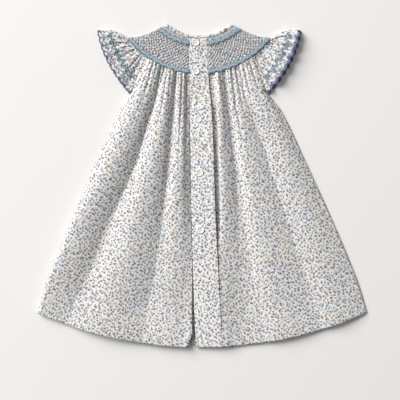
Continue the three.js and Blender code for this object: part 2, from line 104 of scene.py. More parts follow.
def coons(u: Array, t: Array, top: Edge, bottom: Edge, start: Edge, end: Edge) -> Array:
    """Points inside four edges, each given as a function from 0 to 1.

    Args:
        u: 0 at the start edge and 1 at the end edge.
        t: 0 at the top edge and 1 at the bottom edge.
        top, bottom: edges as functions of u.
        start, end: edges as functions of t.

    Returns:
        The plan points, with X and Y last.
    """
    u, t = np.broadcast_arrays(np.asarray(u, float), np.asarray(t, float))
    a, b = u[..., None], t[..., None]
    zero, one = np.zeros_like(u), np.ones_like(u)
    across = lerp(start(t), end(t), a)
    down = lerp(top(u), bottom(u), b)
    corners = lerp(lerp(top(zero), top(one), a), lerp(bottom(zero), bottom(one), a), b)
    return across + down - corners


@dataclass(frozen=True)
class Level:
    """A level down the dress, with the X of a left and a right edge there."""

    y: float
    left: float
    right: float


class Rails:
    """Two smooth edges through a table of levels that run down the dress."""

    def __init__(self, *levels: Level) -> None:
        """Keeps the levels as arrays.

        Args:
            levels: the table's rows, from the top down.
        """
        self.y = np.array([level.y for level in levels])
        self.x = {
            Side.LEFT: np.array([level.left for level in levels]),
            Side.RIGHT: np.array([level.right for level in levels]),
        }

    def at(self, side: Side, y: Any) -> Array:
        """The X of one edge.

        Args:
            side: which of the two edges.
            y: the level, or many.

        Returns:
            X on a cubic through the table's rows.
        """
        y = np.asarray(y, float)
        x, levels, last = self.x[side], self.y, len(self.y) - 1
        i = np.clip((levels[:, None] > y.ravel()).sum(0).reshape(y.shape), 1, last)
        run = levels[i] - levels[i - 1]

        def slope(j: Array, k: Array) -> Array:
            """The edge's slant between two rows."""
            return (x[k] - x[j]) / (levels[k] - levels[j])

        leaving = slope(np.maximum(i - 2, 0), i) * run
        arriving = slope(i - 1, np.minimum(i + 1, last)) * run
        s = np.clip((y - levels[i - 1]) / run, 0, 1)
        drop = x[i - 1] - x[i]
        curve = s * leaving + s**2 * (-3 * drop - 2 * leaving - arriving)
        return x[i - 1] + curve + s**3 * (2 * drop + leaving + arriving)


@dataclass(frozen=True)
class Plan:
    """The dress seen from above: where its seams and edges run."""

    centre: Pair = (-4.6, 300.5)
    neck_radius: float = 76.5
    band_radius: float = 81.5
    yoke_radius: float = 135.0
    neck_angle: float = 39.0
    shoulder_angle: float = 53.0
    armhole_angle: float = 36.5
    fan_top: float = 372.3
    hem_radius: float = 615.0
    hem_angle: float = 23.7
    underarm_half: float = 100.5
    underarm_y: float = 140.0
    raglan_share: float = 0.15
    seam_gap: float = 0.35
    band_gap: float = 0.25
    slit_from: float = -97.0
    slit_to: float = -225.0
    slit_width: float = 4.2
    slit_corner: float = 8.0
    corner_from: float = -220.0
    side_seam: Rails = Rails(
        Level(140, -105.1, 95.9),
        Level(109, -125.0, 119.5),
        Level(37.5, -158.5, 153.5),
        Level(-52.5, -196.0, 194.7),
        Level(-142.5, -232.5, 232.0),
        Level(-190.8, -247.2, 247.2),
    )
    placket: Rails = Rails(
        Level(222, -19.9, 7.9),
        Level(165, -19.2, 9.4),
        Level(97.5, -18.3, 15.2),
        Level(-37.5, -16.0, 19.8),
        Level(-153, -12.8, 25.7),
        Level(-243, -9.3, 30.5),
    )

    @property
    def yoke_depth(self) -> float:
        """From the neck band to the skirt."""
        return self.yoke_radius - self.band_radius

    @property
    def band_middle(self) -> float:
        """The neck band's middle radius."""
        return (self.neck_radius + self.band_radius) / 2

    @property
    def fan_centre(self) -> Pair:
        """The point that the hem and the folds run round."""
        return (0.0, self.fan_top)

    @staticmethod
    def arc(centre: Pair, radius: Any, degrees: Any) -> Array:
        """Points on an arc.

        Args:
            centre: the arc's centre.
            radius: its radius, one or many.
            degrees: angles from straight down the dress.

        Returns:
            The plan points, with X and Y last.
        """
        turn = np.radians(np.asarray(degrees, float))
        x = centre[0] + radius * np.sin(turn)
        y = centre[1] - radius * np.cos(turn)
        return np.stack(np.broadcast_arrays(x, y), -1)

    def yoke_arc(self, radius: Any, degrees: Any) -> Array:
        """Points on an arc of the yoke."""
        return self.arc(self.centre, radius, degrees)

    @staticmethod
    def angle_about(centre: Pair, points: Array) -> Array:
        """Degrees from straight down the dress, about a centre."""
        return np.degrees(np.arctan2(points[..., 0] - centre[0], centre[1] - points[..., 1]))

    def slit(self, y: Array) -> Array:
        """How far the left panel stands off the placket, where the front falls open.

        Args:
            y: the level.

        Returns:
            The gap at each level.
        """
        opened = smoothstep(-y, -self.slit_from, -self.slit_to) * self.slit_width
        corner = smoothstep(-y, -self.corner_from, self.hem_radius - self.fan_top)
        return self.seam_gap + opened + corner * self.slit_corner

    def opening_edge(self, side: Side, y: Any) -> Array:
        """The front's edge beside the placket.

        Args:
            side: which front.
            y: the level, or many.

        Returns:
            The plan point at each level.
        """
        y = np.asarray(y, float)
        if side is Side.LEFT:
            x = self.placket.at(side, y) - self.slit(y)
        else:
            x = self.placket.at(side, y) + self.seam_gap
        return np.stack([x, y], -1)

    def opening_on_arc(self, side: Side, centre: Pair, radius: Any) -> Array:
        """Where the edge beside the placket crosses an arc.

        Args:
            side: which front.
            centre: the arc's centre.
            radius: its radius, one or many.

        Returns:
            The plan point for each radius.
        """
        radius = np.asarray(radius, float)
        y = centre[1] - radius
        for _ in range(6):
            x = self.opening_edge(side, y)[..., 0] - centre[0]
            y = centre[1] - np.sqrt(radius**2 - x**2)
        return self.opening_edge(side, y)

    def skirt_side(self, side: Side, t: Any) -> Array:
        """The skirt's side: straight beside the sleeve, then down the side seam.

        Args:
            side: which side.
            t: 0 at the yoke and 1 at the hem.

        Returns:
            The plan point at each t.
        """
        t = np.asarray(t, float)
        corner = self.yoke_arc(self.yoke_radius + self.seam_gap, side.value * self.armhole_angle)
        underarm = np.array([self.centre[0] + side.value * self.underarm_half, self.underarm_y])
        raglan = lerp(corner, underarm, np.minimum(t / self.raglan_share, 1)[..., None])
        share = np.maximum(t - self.raglan_share, 0) / (1 - self.raglan_share)
        y = lerp(self.underarm_y, self.side_seam.y[-1], share)
        seam = np.stack([self.side_seam.at(side, y), y], -1)
        return np.where((t <= self.raglan_share)[..., None], raglan, seam)

    def skirt(self, side: Side, u: Array, t: Array) -> Array:
        """A half of the front skirt.

        Args:
            side: which half.
            u: 0 at the side and 1 at the placket.
            t: 0 at the yoke and 1 at the hem.

        Returns:
            The plan points.
        """
        top = self.opening_on_arc(side, self.centre, self.yoke_radius + self.seam_gap)
        low = self.opening_on_arc(side, self.fan_centre, self.hem_radius)
        top_angle = self.angle_about(self.centre, top)
        hem_angle = self.angle_about(self.fan_centre, low)
        edge = side.value * self.armhole_angle
        corner = side.value * self.hem_angle
        return coons(
            u,
            t,
            lambda a: self.yoke_arc(self.yoke_radius + self.seam_gap, lerp(edge, top_angle, a)),
            lambda a: self.arc(self.fan_centre, self.hem_radius, lerp(corner, hem_angle, a)),
            lambda a: self.skirt_side(side, a),
            lambda a: self.opening_edge(side, lerp(top[1], low[1], a)),
        )

    def shoulder_at(self, radius: Any) -> Array:
        """Degrees from the centre line to the shoulder, at a radius of the yoke."""
        share = (np.asarray(radius, float) - self.neck_radius) / (self.yoke_radius - self.neck_radius)
        return lerp(self.neck_angle, self.shoulder_angle, share)

    def yoke(self, side: Side, s: Array, t: Array) -> Array:
        """A half of the front yoke.

        Args:
            side: which half.
            s: 0 at the placket and 1 at the shoulder.
            t: 0 at the neck band and 1 at the skirt.

        Returns:
            The plan points.
        """
        radius = lerp(self.band_radius + self.seam_gap, self.yoke_radius, np.asarray(t, float))
        start = self.angle_about(self.centre, self.opening_on_arc(side, self.centre, radius))
        return self.yoke_arc(radius, lerp(start, side.value * self.shoulder_at(radius), s))


PLAN = Plan()


def plan_shift() -> Array:
    """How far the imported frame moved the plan, read from a button's place.

    Returns:
        The move in X, Y and Z, in millimetres.
    """
    low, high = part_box("button_3")
    third = Buttons().places[2]
    middle = (np.array(low) + np.array(high)) / 2 / MM
    return np.array([middle[0] - third[0], middle[1] - third[1], 0.0])


@dataclass
class Pile:
    """Points and faces that become one mesh."""

    points: list[Array] = field(default_factory=list)
    faces: list[Array] = field(default_factory=list)
    cloth: list[Array] = field(default_factory=list)
    count: int = 0

    def add(self, points: Array, faces: Array, cloth: Array) -> None:
        """Adds a closed body.

        Args:
            points: n rows of X, Y and Z.
            faces: rows of three or four point numbers.
            cloth: n rows of the cloth's own two coordinates.
        """
        points = np.asarray(points, float).reshape(-1, 3)
        self.points.append(points)
        self.faces.append(np.asarray(faces) + self.count)
        self.cloth.append(np.asarray(cloth, float).reshape(-1, 2))
        self.count += len(points)

    def make(self, name: str, material: bpy.types.Material) -> bpy.types.Object:
        """Makes the mesh and gives it its finish.

        Args:
            name: the piece's name.
            material: its finish.

        Returns:
            The new object, linked to the scene.
        """
        points = (np.concatenate(self.points) + plan_shift()) * MM
        faces = [face for group in self.faces for face in group.tolist()]
        mesh = bpy.data.meshes.new(name)
        mesh.from_pydata(points.tolist(), [], faces)
        layer = mesh.uv_layers.new(name=CLOTH_MAP)
        corners = np.empty(len(mesh.loops), np.int32)
        mesh.loops.foreach_get("vertex_index", corners)
        layer.data.foreach_set("uv", np.concatenate(self.cloth)[corners].astype(np.float32).ravel())
        mesh.polygons.foreach_set("use_smooth", np.ones(len(mesh.polygons), bool))
        mesh.materials.append(material)
        mesh.update()
        piece = bpy.data.objects.new(name, mesh)
        bpy.context.collection.objects.link(piece)
        log.info("%s: %d faces", name, len(mesh.polygons))
        return piece


def outward(points: Array, faces: Array) -> Array:
    """Turns faces round if they enclose their points inside out.

    Args:
        points: n rows of X, Y and Z.
        faces: rows of three or four point numbers.

    Returns:
        The faces, which look outward.
    """
    a, b, c = (points[faces[:, k]] for k in (0, 1, 2))
    volume = np.einsum("ij,ij->i", a, np.cross(b, c)).sum()
    if faces.shape[1] == 4:
        d = points[faces[:, 3]]
        volume += np.einsum("ij,ij->i", a, np.cross(c, d)).sum()
    return faces if volume > 0 else faces[:, ::-1]


def shell(outer: Array, inner: Array, cloth: Array) -> tuple[Array, Array, Array]:
    """The closed body between two grids of points, rim included.

    Args:
        outer: rows x columns x 3 points.
        inner: the other face's points.
        cloth: rows x columns x 2 coordinates of the cloth, the same for both faces.

    Returns:
        Points, four-cornered faces and cloth coordinates.
    """
    rows, columns = outer.shape[:2]
    number = np.arange(rows * columns).reshape(rows, columns)
    other = number + rows * columns

    def quads(a: Array, b: Array, c: Array, d: Array) -> Array:
        """Faces from four sets of corners."""
        return np.stack([a.ravel(), b.ravel(), c.ravel(), d.ravel()], -1)

    faces = [
        quads(number[:-1, :-1], number[1:, :-1], number[1:, 1:], number[:-1, 1:]),
        quads(other[:-1, :-1], other[:-1, 1:], other[1:, 1:], other[1:, :-1]),
        quads(number[:-1, 0], other[:-1, 0], other[1:, 0], number[1:, 0]),
        quads(number[1:, -1], other[1:, -1], other[:-1, -1], number[:-1, -1]),
        quads(number[0, 1:], other[0, 1:], other[0, :-1], number[0, :-1]),
        quads(number[-1, :-1], other[-1, :-1], other[-1, 1:], number[-1, 1:]),
    ]
    points = np.concatenate([outer.reshape(-1, 3), inner.reshape(-1, 3)])
    stacked = np.concatenate([cloth.reshape(-1, 2), cloth.reshape(-1, 2)])
    return points, outward(points, np.concatenate(faces)), stacked


def normals(grid: Array) -> Array:
    """Unit normals of a grid of points, with +Z up.

    Args:
        grid: rows x columns x 3 points.

    Returns:
        A normal for each point.
    """
    down = np.gradient(grid, axis=0)
    across = np.gradient(grid, axis=1)
    normal = np.cross(down, across)
    normal /= np.linalg.norm(normal, axis=-1, keepdims=True) + 1e-9
    middle = np.sign(np.median(normal[..., 2])) or 1.0
    return normal * middle


def lined(outer: Array, thickness: Any, floor: Any) -> Array:
    """The inner face of a cloth: the outer one moved in along its normals.

    Args:
        outer: the outer face's points.
        thickness: the cloth's thickness, one or a grid.
        floor: the height that no point goes below, one or a grid.

    Returns:
        The inner face's points.
    """
    inner = outer - normals(outer) * np.asarray(thickness)[..., None]
    inner[..., 2] = np.maximum(inner[..., 2], floor)
    return inner


def unrolled(grid: Array) -> Array:
    """Cloth coordinates that let the print keep its size over folds.

    Args:
        grid: rows x columns x 3 points, whose columns run down the dress.

    Returns:
        X plus what the folds take up, and Y, at each point.
    """
    step = np.diff(grid, axis=1)
    flat = np.linalg.norm(step[..., :2], axis=-1)
    extra = np.linalg.norm(step, axis=-1) - flat
    taken = np.concatenate([np.zeros((len(grid), 1)), np.cumsum(extra, axis=1)], 1)
    towards = np.sign(step[..., 0].sum())
    return np.stack([grid[..., 0] + towards * taken, grid[..., 1]], -1)


def onto(grid: Array, row: Any, column: Any) -> Array:
    """Points of a grid's face, between its own points.

    Args:
        grid: rows x columns x 3 points.
        row: places down the grid, in rows.
        column: places across it, in columns.

    Returns:
        The point at each place.
    """
    row, column = np.broadcast_arrays(np.asarray(row, float), np.asarray(column, float))
    i = np.clip(row.astype(int), 0, grid.shape[0] - 2)
    j = np.clip(column.astype(int), 0, grid.shape[1] - 2)
    a, b = (row - i)[..., None], (column - j)[..., None]
    upper = lerp(grid[i, j], grid[i, j + 1], b)
    return lerp(upper, lerp(grid[i + 1, j], grid[i + 1, j + 1], b), a)


def raised(plan: Array, level: Any) -> Array:
    """Plan points at a level, or each at its own."""
    level = np.broadcast_to(level, plan.shape[:-1])
    return np.concatenate([plan, level[..., None]], -1)


def panel(
    name: str, material: bpy.types.Material, outer: Array, inner: Array, cloth: Array
) -> bpy.types.Object:
    """Makes one cloth from its two faces.

    Args:
        name: the piece's name.
        material: its finish.
        outer: rows x columns x 3 points.
        inner: the other face's points.
        cloth: rows x columns x 2 coordinates of the cloth.

    Returns:
        The new piece.
    """
    pile = Pile()
    pile.add(*shell(outer, inner, cloth))
    return pile.make(name, material)


def from_column(plan: Array, column: int) -> Array:
    """Each plan point's distance from the point of its row that is in a column."""
    return np.linalg.norm(plan - plan[:, column, None], axis=-1)


def unit(vectors: Array) -> Array:
    """Vectors of length 1 along the given ones."""
    return vectors / np.linalg.norm(vectors, axis=-1, keepdims=True)


def steps(count: int, start: float = 0.0) -> Array:
    """Even steps from a start to 1, a number for each line of a grid."""
    return np.linspace(start, 1, count + 1)


@dataclass(frozen=True)
class Needle:
    """Makes stitches: short, plump lengths of thread that arch a little off the cloth."""

    sides: int = 6
    rings: int = 5
    first_ring: float = 0.12
    tip_width: float = 0.04
    twist_between: float = 3.7

    def stitches(
        self, pile: Pile, start: Array, end: Array, up: Array, width: float, arch: float
    ) -> None:
        """Adds a stitch for each pair of points.

        Args:
            pile: what the stitches join.
            start: n points where the thread comes up.
            end: n points where it goes down.
            up: n unit vectors off the cloth.
            width: the thread's thickness.
            arch: how far the middle stands off the cloth.
        """
        n = len(start)
        run = end - start
        length = np.linalg.norm(run, axis=-1, keepdims=True) + 1e-9
        sideways = np.cross(up, run / length)
        share = (np.arange(self.rings) + self.first_ring) / (self.rings - 1 + 2 * self.first_ring)
        plump = np.sqrt(np.clip(1 - np.abs(2 * share - 1) ** 3, self.tip_width, 1)) * 0.5
        middle = start[:, None] + run[:, None] * share[:, None]
        lift = arch * np.sin(math.pi * share)
        middle = middle + up[:, None] * lift[:, None]
        turn = 2 * math.pi * np.arange(self.sides) / self.sides
        radius = (width * plump)[:, None, None]
        round_off = sideways[:, None, None] * np.cos(turn)[:, None]
        round_off = round_off + up[:, None, None] * np.sin(turn)[:, None]
        rings = middle[:, :, None] + radius * round_off
        tips = np.stack([start, end], 1)
        per = self.rings * self.sides + 2
        points = np.concatenate([rings.reshape(n, -1, 3), tips], 1).reshape(-1, 3)
        own_twist = self.twist_between * np.arange(n)[:, None]
        cloth = np.empty((n, per, 2))
        cloth[:, :-2, 0] = np.repeat(share, self.sides) * length + own_twist
        cloth[:, :-2, 1] = np.tile(np.arange(self.sides) / self.sides, self.rings)
        cloth[:, -2:, 0] = own_twist
        cloth[:, -2:, 1] = 0.5
        quads, triangles = self.pattern()
        base = (np.arange(n) * per)[:, None, None]
        count = pile.count
        pile.add(points, (quads + base).reshape(-1, 4), cloth)
        pile.faces.append((triangles + base).reshape(-1, 3) + count)

    def pattern(self) -> tuple[Array, Array]:
        """The faces of one stitch.

        Returns:
            Four-cornered faces round its length, and three-cornered ones at its tips.
        """
        k = np.arange(self.sides)
        nxt = (k + 1) % self.sides
        quads = []
        for ring in range(self.rings - 1):
            low, high = ring * self.sides, (ring + 1) * self.sides
            quads.append(np.stack([low + k, low + nxt, high + nxt, high + k], -1))
        last = (self.rings - 1) * self.sides
        first_tip, last_tip = self.rings * self.sides, self.rings * self.sides + 1
        ends = [
            np.stack([nxt, k, np.full_like(k, first_tip)], -1),
            np.stack([last + k, last + nxt, np.full_like(k, last_tip)], -1),
        ]
        return np.concatenate(quads), np.concatenate(ends)


def spaced(line: Array, pitch: float) -> Array:
    """Evenly spaced places along a line of points.

    Args:
        line: the line's points.
        pitch: the distance between places, as near as it fits.

    Returns:
        The places, as fractions of the line's point numbers.
    """
    length = np.concatenate([[0], np.cumsum(np.linalg.norm(np.diff(line, axis=0), axis=-1))])
    count = max(int(length[-1] / pitch), 2)
    return np.interp(np.linspace(0, length[-1], count + 1), length, np.arange(len(line)))


def at_places(line: Array, places: Array) -> Array:
    """Points of a line at fractions of its point numbers."""
    numbers = np.arange(len(line))
    return np.stack([np.interp(places, numbers, line[:, k]) for k in range(line.shape[1])], -1)


@dataclass(frozen=True)
class CableStitch:
    """A row of overlapping stitches that slant to one side and the other in turn."""

    pitch: float
    reach: float
    lean: float
    lift: float
    arch: float
    end_lean: float = 0.4

    def sew(self, pile: Pile, line: Array, off: Array, width: float) -> None:
        """Sews one row.

        Args:
            pile: what the stitches join.
            line: points that the row runs through.
            off: the direction off the cloth at each of them.
            width: the thread's thickness.
        """
        places = spaced(line, self.pitch)
        points, up = at_places(line, places), unit(at_places(off, places))
        run = unit(np.gradient(points, axis=0))
        across = np.cross(up, run)
        lean = np.where(np.arange(len(points)) % 2 == 0, self.lean, -self.lean)[:, None]
        start = points - run * self.reach + across * lean + up * self.lift
        end = points + run * self.reach - across * lean * self.end_lean + up * self.lift
        Needle().stitches(pile, start, end, up, width, self.arch)


class Value:
    """A socket's value in a shader, with arithmetic that adds Math nodes."""

    def __init__(self, shader: "Shader", socket: bpy.types.NodeSocket) -> None:
        """Wraps a socket.

        Args:
            shader: the shader that it belongs to.
            socket: the output socket.
        """
        self.shader = shader
        self.socket = socket

    def math(self, operation: str, *values: Any) -> "Value":
        """Adds one Math node.

        Args:
            operation: what the node does.
            values: numbers or links for its other inputs.

        Returns:
            The node's output.
        """
        inputs = {index + 1: value for index, value in enumerate(values)}
        made = self.shader.node("ShaderNodeMath", {"operation": operation}, {0: self, **inputs})
        return Value(self.shader, made.outputs[0])

    def __add__(self, other: Any) -> "Value":
        """This value plus another."""
        return self.math("ADD", other)

    __radd__ = __add__

    def __mul__(self, other: Any) -> "Value":
        """This value times another."""
        return self.math("MULTIPLY", other)

    __rmul__ = __mul__

    def __sub__(self, other: Any) -> "Value":
        """This value less another."""
        return self.math("SUBTRACT", other)

    def __rsub__(self, other: Any) -> "Value":
        """Another value less this one."""
        return (self * -1.0) + other

    def __truediv__(self, other: Any) -> "Value":
        """This value over another."""
        return self.math("DIVIDE", other)

    def sin(self) -> "Value":
        """Its sine."""
        return self.math("SINE")

    def clamped(self) -> "Value":
        """The value kept between 0 and 1."""
        return self.math("MAXIMUM", 0.0).math("MINIMUM", 1.0)


class Shader:
    """One material's nodes."""

    def __init__(self, name: str) -> None:
        """Starts a material with a Principled shader.

        Args:
            name: the material's name.
        """
        self.material = bpy.data.materials.new(name)
        self.material.use_nodes = True
        self.tree = self.material.node_tree
        self.surface = self.tree.nodes["Principled BSDF"]

    def node(self, kind: str, settings: dict[str, Any], inputs: dict[Any, Any]) -> bpy.types.Node:
        """Adds any node.

        Args:
            kind: the node's type.
            settings: its own settings, or a ramp's stops, set first.
            inputs: values or links, by the socket's name or number.

        Returns:
            The new node.
        """
        made = self.tree.nodes.new(kind)
        for key, value in settings.items():
            if key == "stops":
                self.stops(made.color_ramp, value)
            else:
                setattr(made, key, value)
        for key, value in inputs.items():
            self.feed(made.inputs[key], value)
        return made

    @staticmethod
    def stops(ramp: bpy.types.ColorRamp, stops: Sequence[tuple[float, Sequence[float]]]) -> None:
        """Sets a ramp's stops.

        Args:
            ramp: the ramp.
            stops: a place and a colour for each.
        """
        ramp.interpolation = "CONSTANT"
        while len(ramp.elements) < len(stops):
            ramp.elements.new(0.5)
        for element, (place, colour) in zip(ramp.elements, stops):
            element.position = place
            element.color = (*colour, 1.0)

    def feed(self, socket: bpy.types.NodeSocket, value: Any) -> None:
        """Gives a socket its value.

        Args:
            socket: the socket.
            value: a link, a number, a vector or a colour.
        """
        if isinstance(value, Value):
            self.tree.links.new(value.socket, socket)
        elif isinstance(value, tuple) and socket.type == "RGBA":
            socket.default_value = (*value, 1.0)
        else:
            socket.default_value = value

    def out(self, made: bpy.types.Node, output: Any = 0) -> Value:
        """A node's output as a value."""
        return Value(self, made.outputs[output])

    def cloth(self) -> Value:
        """The cloth's own coordinates, in millimetres."""
        return self.out(self.node("ShaderNodeUVMap", {"uv_map": CLOTH_MAP}, {}), "UV")

    def vector(self, operation: str, a: Any, b: Any, output: Any = 0) -> Value:
        """One Vector Math node."""
        made = self.node("ShaderNodeVectorMath", {"operation": operation}, {0: a, 1: b})
        return self.out(made, output)

    def parts(self, vector: Value) -> tuple[Value, Value]:
        """A vector's first two parts."""
        made = self.node("ShaderNodeSeparateXYZ", {}, {0: vector})
        return self.out(made, 0), self.out(made, 1)

    def noise(self, vector: Value, scale: float, detail: float = 2.0) -> Value:
        """Soft noise, from 0 to 1."""
        made = self.node("ShaderNodeTexNoise", {}, {"Vector": vector, "Scale": scale, "Detail": detail})
        return self.out(made, 0)

    def mix(self, factor: Any, a: Any, b: Any) -> Value:
        """A colour between two others.

        Args:
            factor: 0 for the first and 1 for the second.
            a: the first colour.
            b: the second colour.

        Returns:
            The colour.
        """
        made = self.node("ShaderNodeMix", {"data_type": "RGBA"}, {0: factor, 6: a, 7: b})
        return self.out(made, 2)

    def bump(self, height: Value, distance: float, strength: float = 1.0) -> None:
        """Feeds the surface's normal from a height.

        Args:
            height: the height, from a pattern.
            distance: how high 1 stands, in metres.
            strength: how much of it shows.
        """
        made = self.node(
            "ShaderNodeBump", {}, {"Strength": strength, "Distance": distance, "Height": height}
        )
        self.feed(self.surface.inputs["Normal"], self.out(made))

    def set(self, **inputs: Any) -> None:
        """Sets the surface's own sockets, by names with underscores for spaces."""
        for name, value in inputs.items():
            self.feed(self.surface.inputs[name.replace("_", " ")], value)


@dataclass(frozen=True)
class Motif:
    """One kind of printed sprig, scattered over the lawn, a few millimetres apart."""

    pitch: float
    radius: float
    petals: int
    shift: Pair
    colours: tuple[Colour, ...]
    strength: float
    turn: float
    scatter: float = 0.8
    lobe: float = 0.16
    any_turn: float = 40.0
    smallest: float = 0.75
    soft_edge: float = 0.45

    def print_on(self, shader: Shader, ground: Value, cloth: Value) -> Value:
        """Prints the sprig over a ground colour.

        Args:
            shader: the lawn's shader.
            ground: the colour so far.
            cloth: the cloth's coordinates.

        Returns:
            The colour with this sprig on it.
        """
        turned = {"Vector": cloth, "Rotation": (0.0, 0.0, self.turn), "Location": (*self.shift, 0.0)}
        place = shader.out(shader.node("ShaderNodeMapping", {}, turned))
        cells = shader.node(
            "ShaderNodeTexVoronoi",
            {"voronoi_dimensions": "2D"},
            {"Vector": place, "Scale": 1 / self.pitch, "Randomness": self.scatter},
        )
        middle = shader.out(cells, "Position")
        dx, dy = shader.parts(shader.vector("SUBTRACT", place, middle))
        chance, size = shader.parts(shader.out(cells, "Color"))
        angle = dy.math("ARCTAN2", dx)
        petals = (angle * float(self.petals) + chance * self.any_turn).sin()
        lobes = petals * self.lobe + (1 - self.lobe)
        radius = lobes * (size * (2 - 2 * self.smallest) + self.smallest) * self.radius
        distance = shader.vector("DISTANCE", place, middle, "Value")
        inside = ((radius - distance) / self.soft_edge).clamped()
        stops = [(k / len(self.colours), colour) for k, colour in enumerate(self.colours)]
        colour = shader.out(shader.node("ShaderNodeValToRGB", {"stops": stops}, {0: chance}))
        return shader.mix(inside * self.strength, ground, colour)


SOFT_BLOOMS = (
    (0.34, 0.48, 0.58),
    (0.67, 0.57, 0.28),
    (0.6, 0.41, 0.35),
    (0.44, 0.41, 0.56),
    (0.42, 0.54, 0.61),
    (0.6, 0.57, 0.4),
    (0.38, 0.47, 0.38),
)
LEAVES = ((0.24, 0.3, 0.23), (0.22, 0.22, 0.28), (0.36, 0.35, 0.36), (0.28, 0.35, 0.38))
DARK_BLOOMS = (
    (0.085, 0.075, 0.13),
    (0.16, 0.14, 0.25),
    (0.2, 0.185, 0.3),
    (0.16, 0.185, 0.25),
    (0.2, 0.13, 0.17),
    (0.1, 0.1, 0.125),
)
EYES = ((0.7, 0.6, 0.38), (0.6, 0.52, 0.5))


@dataclass(frozen=True)
class Lawn:
    """Off-white cotton lawn with a small flower print, and its weave."""

    name: str
    ground: Colour = (0.82, 0.805, 0.785)
    cool: Colour = (0.8, 0.81, 0.83)
    mottling: float = 0.12
    mottle_scale: float = 0.05
    slub_scale: float = 0.9
    thread_pitch: float = 0.42
    smoothest: float = 0.81
    sheen: float = 0.15
    weave_depth: float = 0.00005
    sprigs: tuple[Motif, ...] = (
        Motif(4.3, 2.05, 4, (31.0, 17.0), SOFT_BLOOMS, 0.7, 0.9),
        Motif(2.75, 0.9, 3, (57.0, 3.0), LEAVES, 0.66, 0.35),
        Motif(4.7, 1.84, 5, (0.0, 0.0), DARK_BLOOMS, 0.9, 0.6),
        Motif(4.7, 0.4, 5, (0.0, 0.0), EYES, 0.5, 0.6),
    )

    def make(self) -> bpy.types.Material:
        """Builds the lawn.

        Returns:
            Its material.
        """
        shader = Shader(self.name)
        cloth = shader.cloth()
        mottle = shader.noise(cloth, self.mottle_scale)
        colour = shader.mix(mottle * self.mottling, self.ground, self.cool)
        for sprig in self.sprigs:
            colour = sprig.print_on(shader, colour, cloth)
        u, v = shader.parts(cloth)
        warp = (u * (2 * math.pi / self.thread_pitch)).sin()
        weft = (v * (2 * math.pi / self.thread_pitch)).sin()
        slub = shader.noise(cloth, self.slub_scale)
        weave = warp * weft * 0.5 + slub * 0.8
        shader.set(Base_Color=colour, Roughness=slub * 0.1 + self.smoothest, Sheen_Weight=self.sheen)
        shader.bump(weave, self.weave_depth, 0.6)
        return shader.material


@dataclass(frozen=True)
class StrandedCotton:
    """Embroidery thread, with its twist, painted shade in the grooves between its strands, and a soft
    sheen.
    """

    name: str
    colour: Colour
    other: Colour
    painted_strand_shade: Colour = (0.05, 0.06, 0.1)
    twist: float = 0.55
    patch_scale: float = 0.35
    roughness: float = 0.5
    sheen: float = 0.3
    strand_depth: float = 0.0001

    def make(self) -> bpy.types.Material:
        """Builds the thread.

        Returns:
            Its material.
        """
        shader = Shader(self.name)
        cloth = shader.cloth()
        u, v = shader.parts(cloth)
        patches = shader.noise(cloth, self.patch_scale)
        strands = ((u / self.twist + v * 2.0) * (2 * math.pi)).sin()
        colour = shader.mix((patches * 2.2 - 0.6).clamped(), self.colour, self.other)
        # Painted shade: the colour is darkened along the grooves between the twisted strands.
        colour = shader.mix((strands * 0.1 + 0.06).clamped(), colour, self.painted_strand_shade)
        shader.set(Base_Color=colour, Roughness=strands * 0.06 + self.roughness, Sheen_Weight=self.sheen)
        shader.bump(strands, self.strand_depth, 0.5)
        return shader.material


@dataclass(frozen=True)
class PearlShell:
    """Off-white, pearly button material."""

    name: str = "pearl_shell"
    warm: Colour = (0.88, 0.84, 0.8)
    cool: Colour = (0.84, 0.84, 0.83)
    cloud_scale: float = 0.4
    roughness: float = 0.2
    coat: float = 0.5
    coat_roughness: float = 0.15
    cloud_depth: float = 0.00008

    def make(self) -> bpy.types.Material:
        """Builds the button material.

        Returns:
            Its material.
        """
        shader = Shader(self.name)
        cloudy = shader.noise(shader.cloth(), self.cloud_scale, 4.0)
        roughness = cloudy * 0.15 + self.roughness
        shader.set(Base_Color=shader.mix(cloudy, self.warm, self.cool), Roughness=roughness)
        shader.set(Coat_Weight=self.coat, Coat_Roughness=self.coat_roughness)
        shader.bump(cloudy, self.cloud_depth, 0.3)
        return shader.material


@dataclass(frozen=True)
class Finishes:
    """Every finish of the dress, made once."""

    lawn: bpy.types.Material
    doubled: bpy.types.Material
    smocked: bpy.types.Material
    sky: bpy.types.Material
    teal: bpy.types.Material
    indigo: bpy.types.Material
    white: bpy.types.Material
    pearl: bpy.types.Material

    @classmethod
    def make(cls) -> "Finishes":
        """Builds them.

        Returns:
            All the finishes.
        """
        return cls(
            lawn=Lawn("printed_lawn").make(),
            # The placket's lawn is the printed lawn with a lighter ground: painted highlight on the
            # raised placket.
            doubled=Lawn("doubled_lawn", ground=(0.92, 0.91, 0.895)).make(),
            # The smocked lawn's grey ground is painted shade between the pleats; the cloth is the same
            # off-white printed lawn.
            smocked=Lawn("smocked_lawn", ground=(0.6, 0.61, 0.605)).make(),
            sky=StrandedCotton("sky_thread", (0.3, 0.46, 0.58), (0.66, 0.76, 0.82)).make(),
            teal=StrandedCotton("teal_thread", (0.07, 0.16, 0.24), (0.14, 0.3, 0.38)).make(),
            indigo=StrandedCotton("indigo_thread", (0.085, 0.09, 0.23), (0.18, 0.19, 0.37)).make(),
            white=StrandedCotton("white_thread", (0.85, 0.85, 0.84), (0.75, 0.76, 0.78)).make(),
            pearl=PearlShell().make(),
        )


class Slot(Enum):
    """The record's material slots."""

    PRINTED = "printed_lawn"
    SMOCKED = "smocked_lawn"
    PALE_BLUE = "pale_blue_thread"
    TEAL = "teal_thread"
    INDIGO = "indigo_thread"
    PEARL = "pearl_button"


def stands_for(piece: bpy.types.Object, slot: Slot, *nodes: str) -> None:
    """Puts a piece in the frame.

    Args:
        piece: the piece.
        slot: not used.
        nodes: the nodes it stands for, if any.
    """
    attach(piece, ROOT)
    if nodes:
        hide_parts(*nodes)


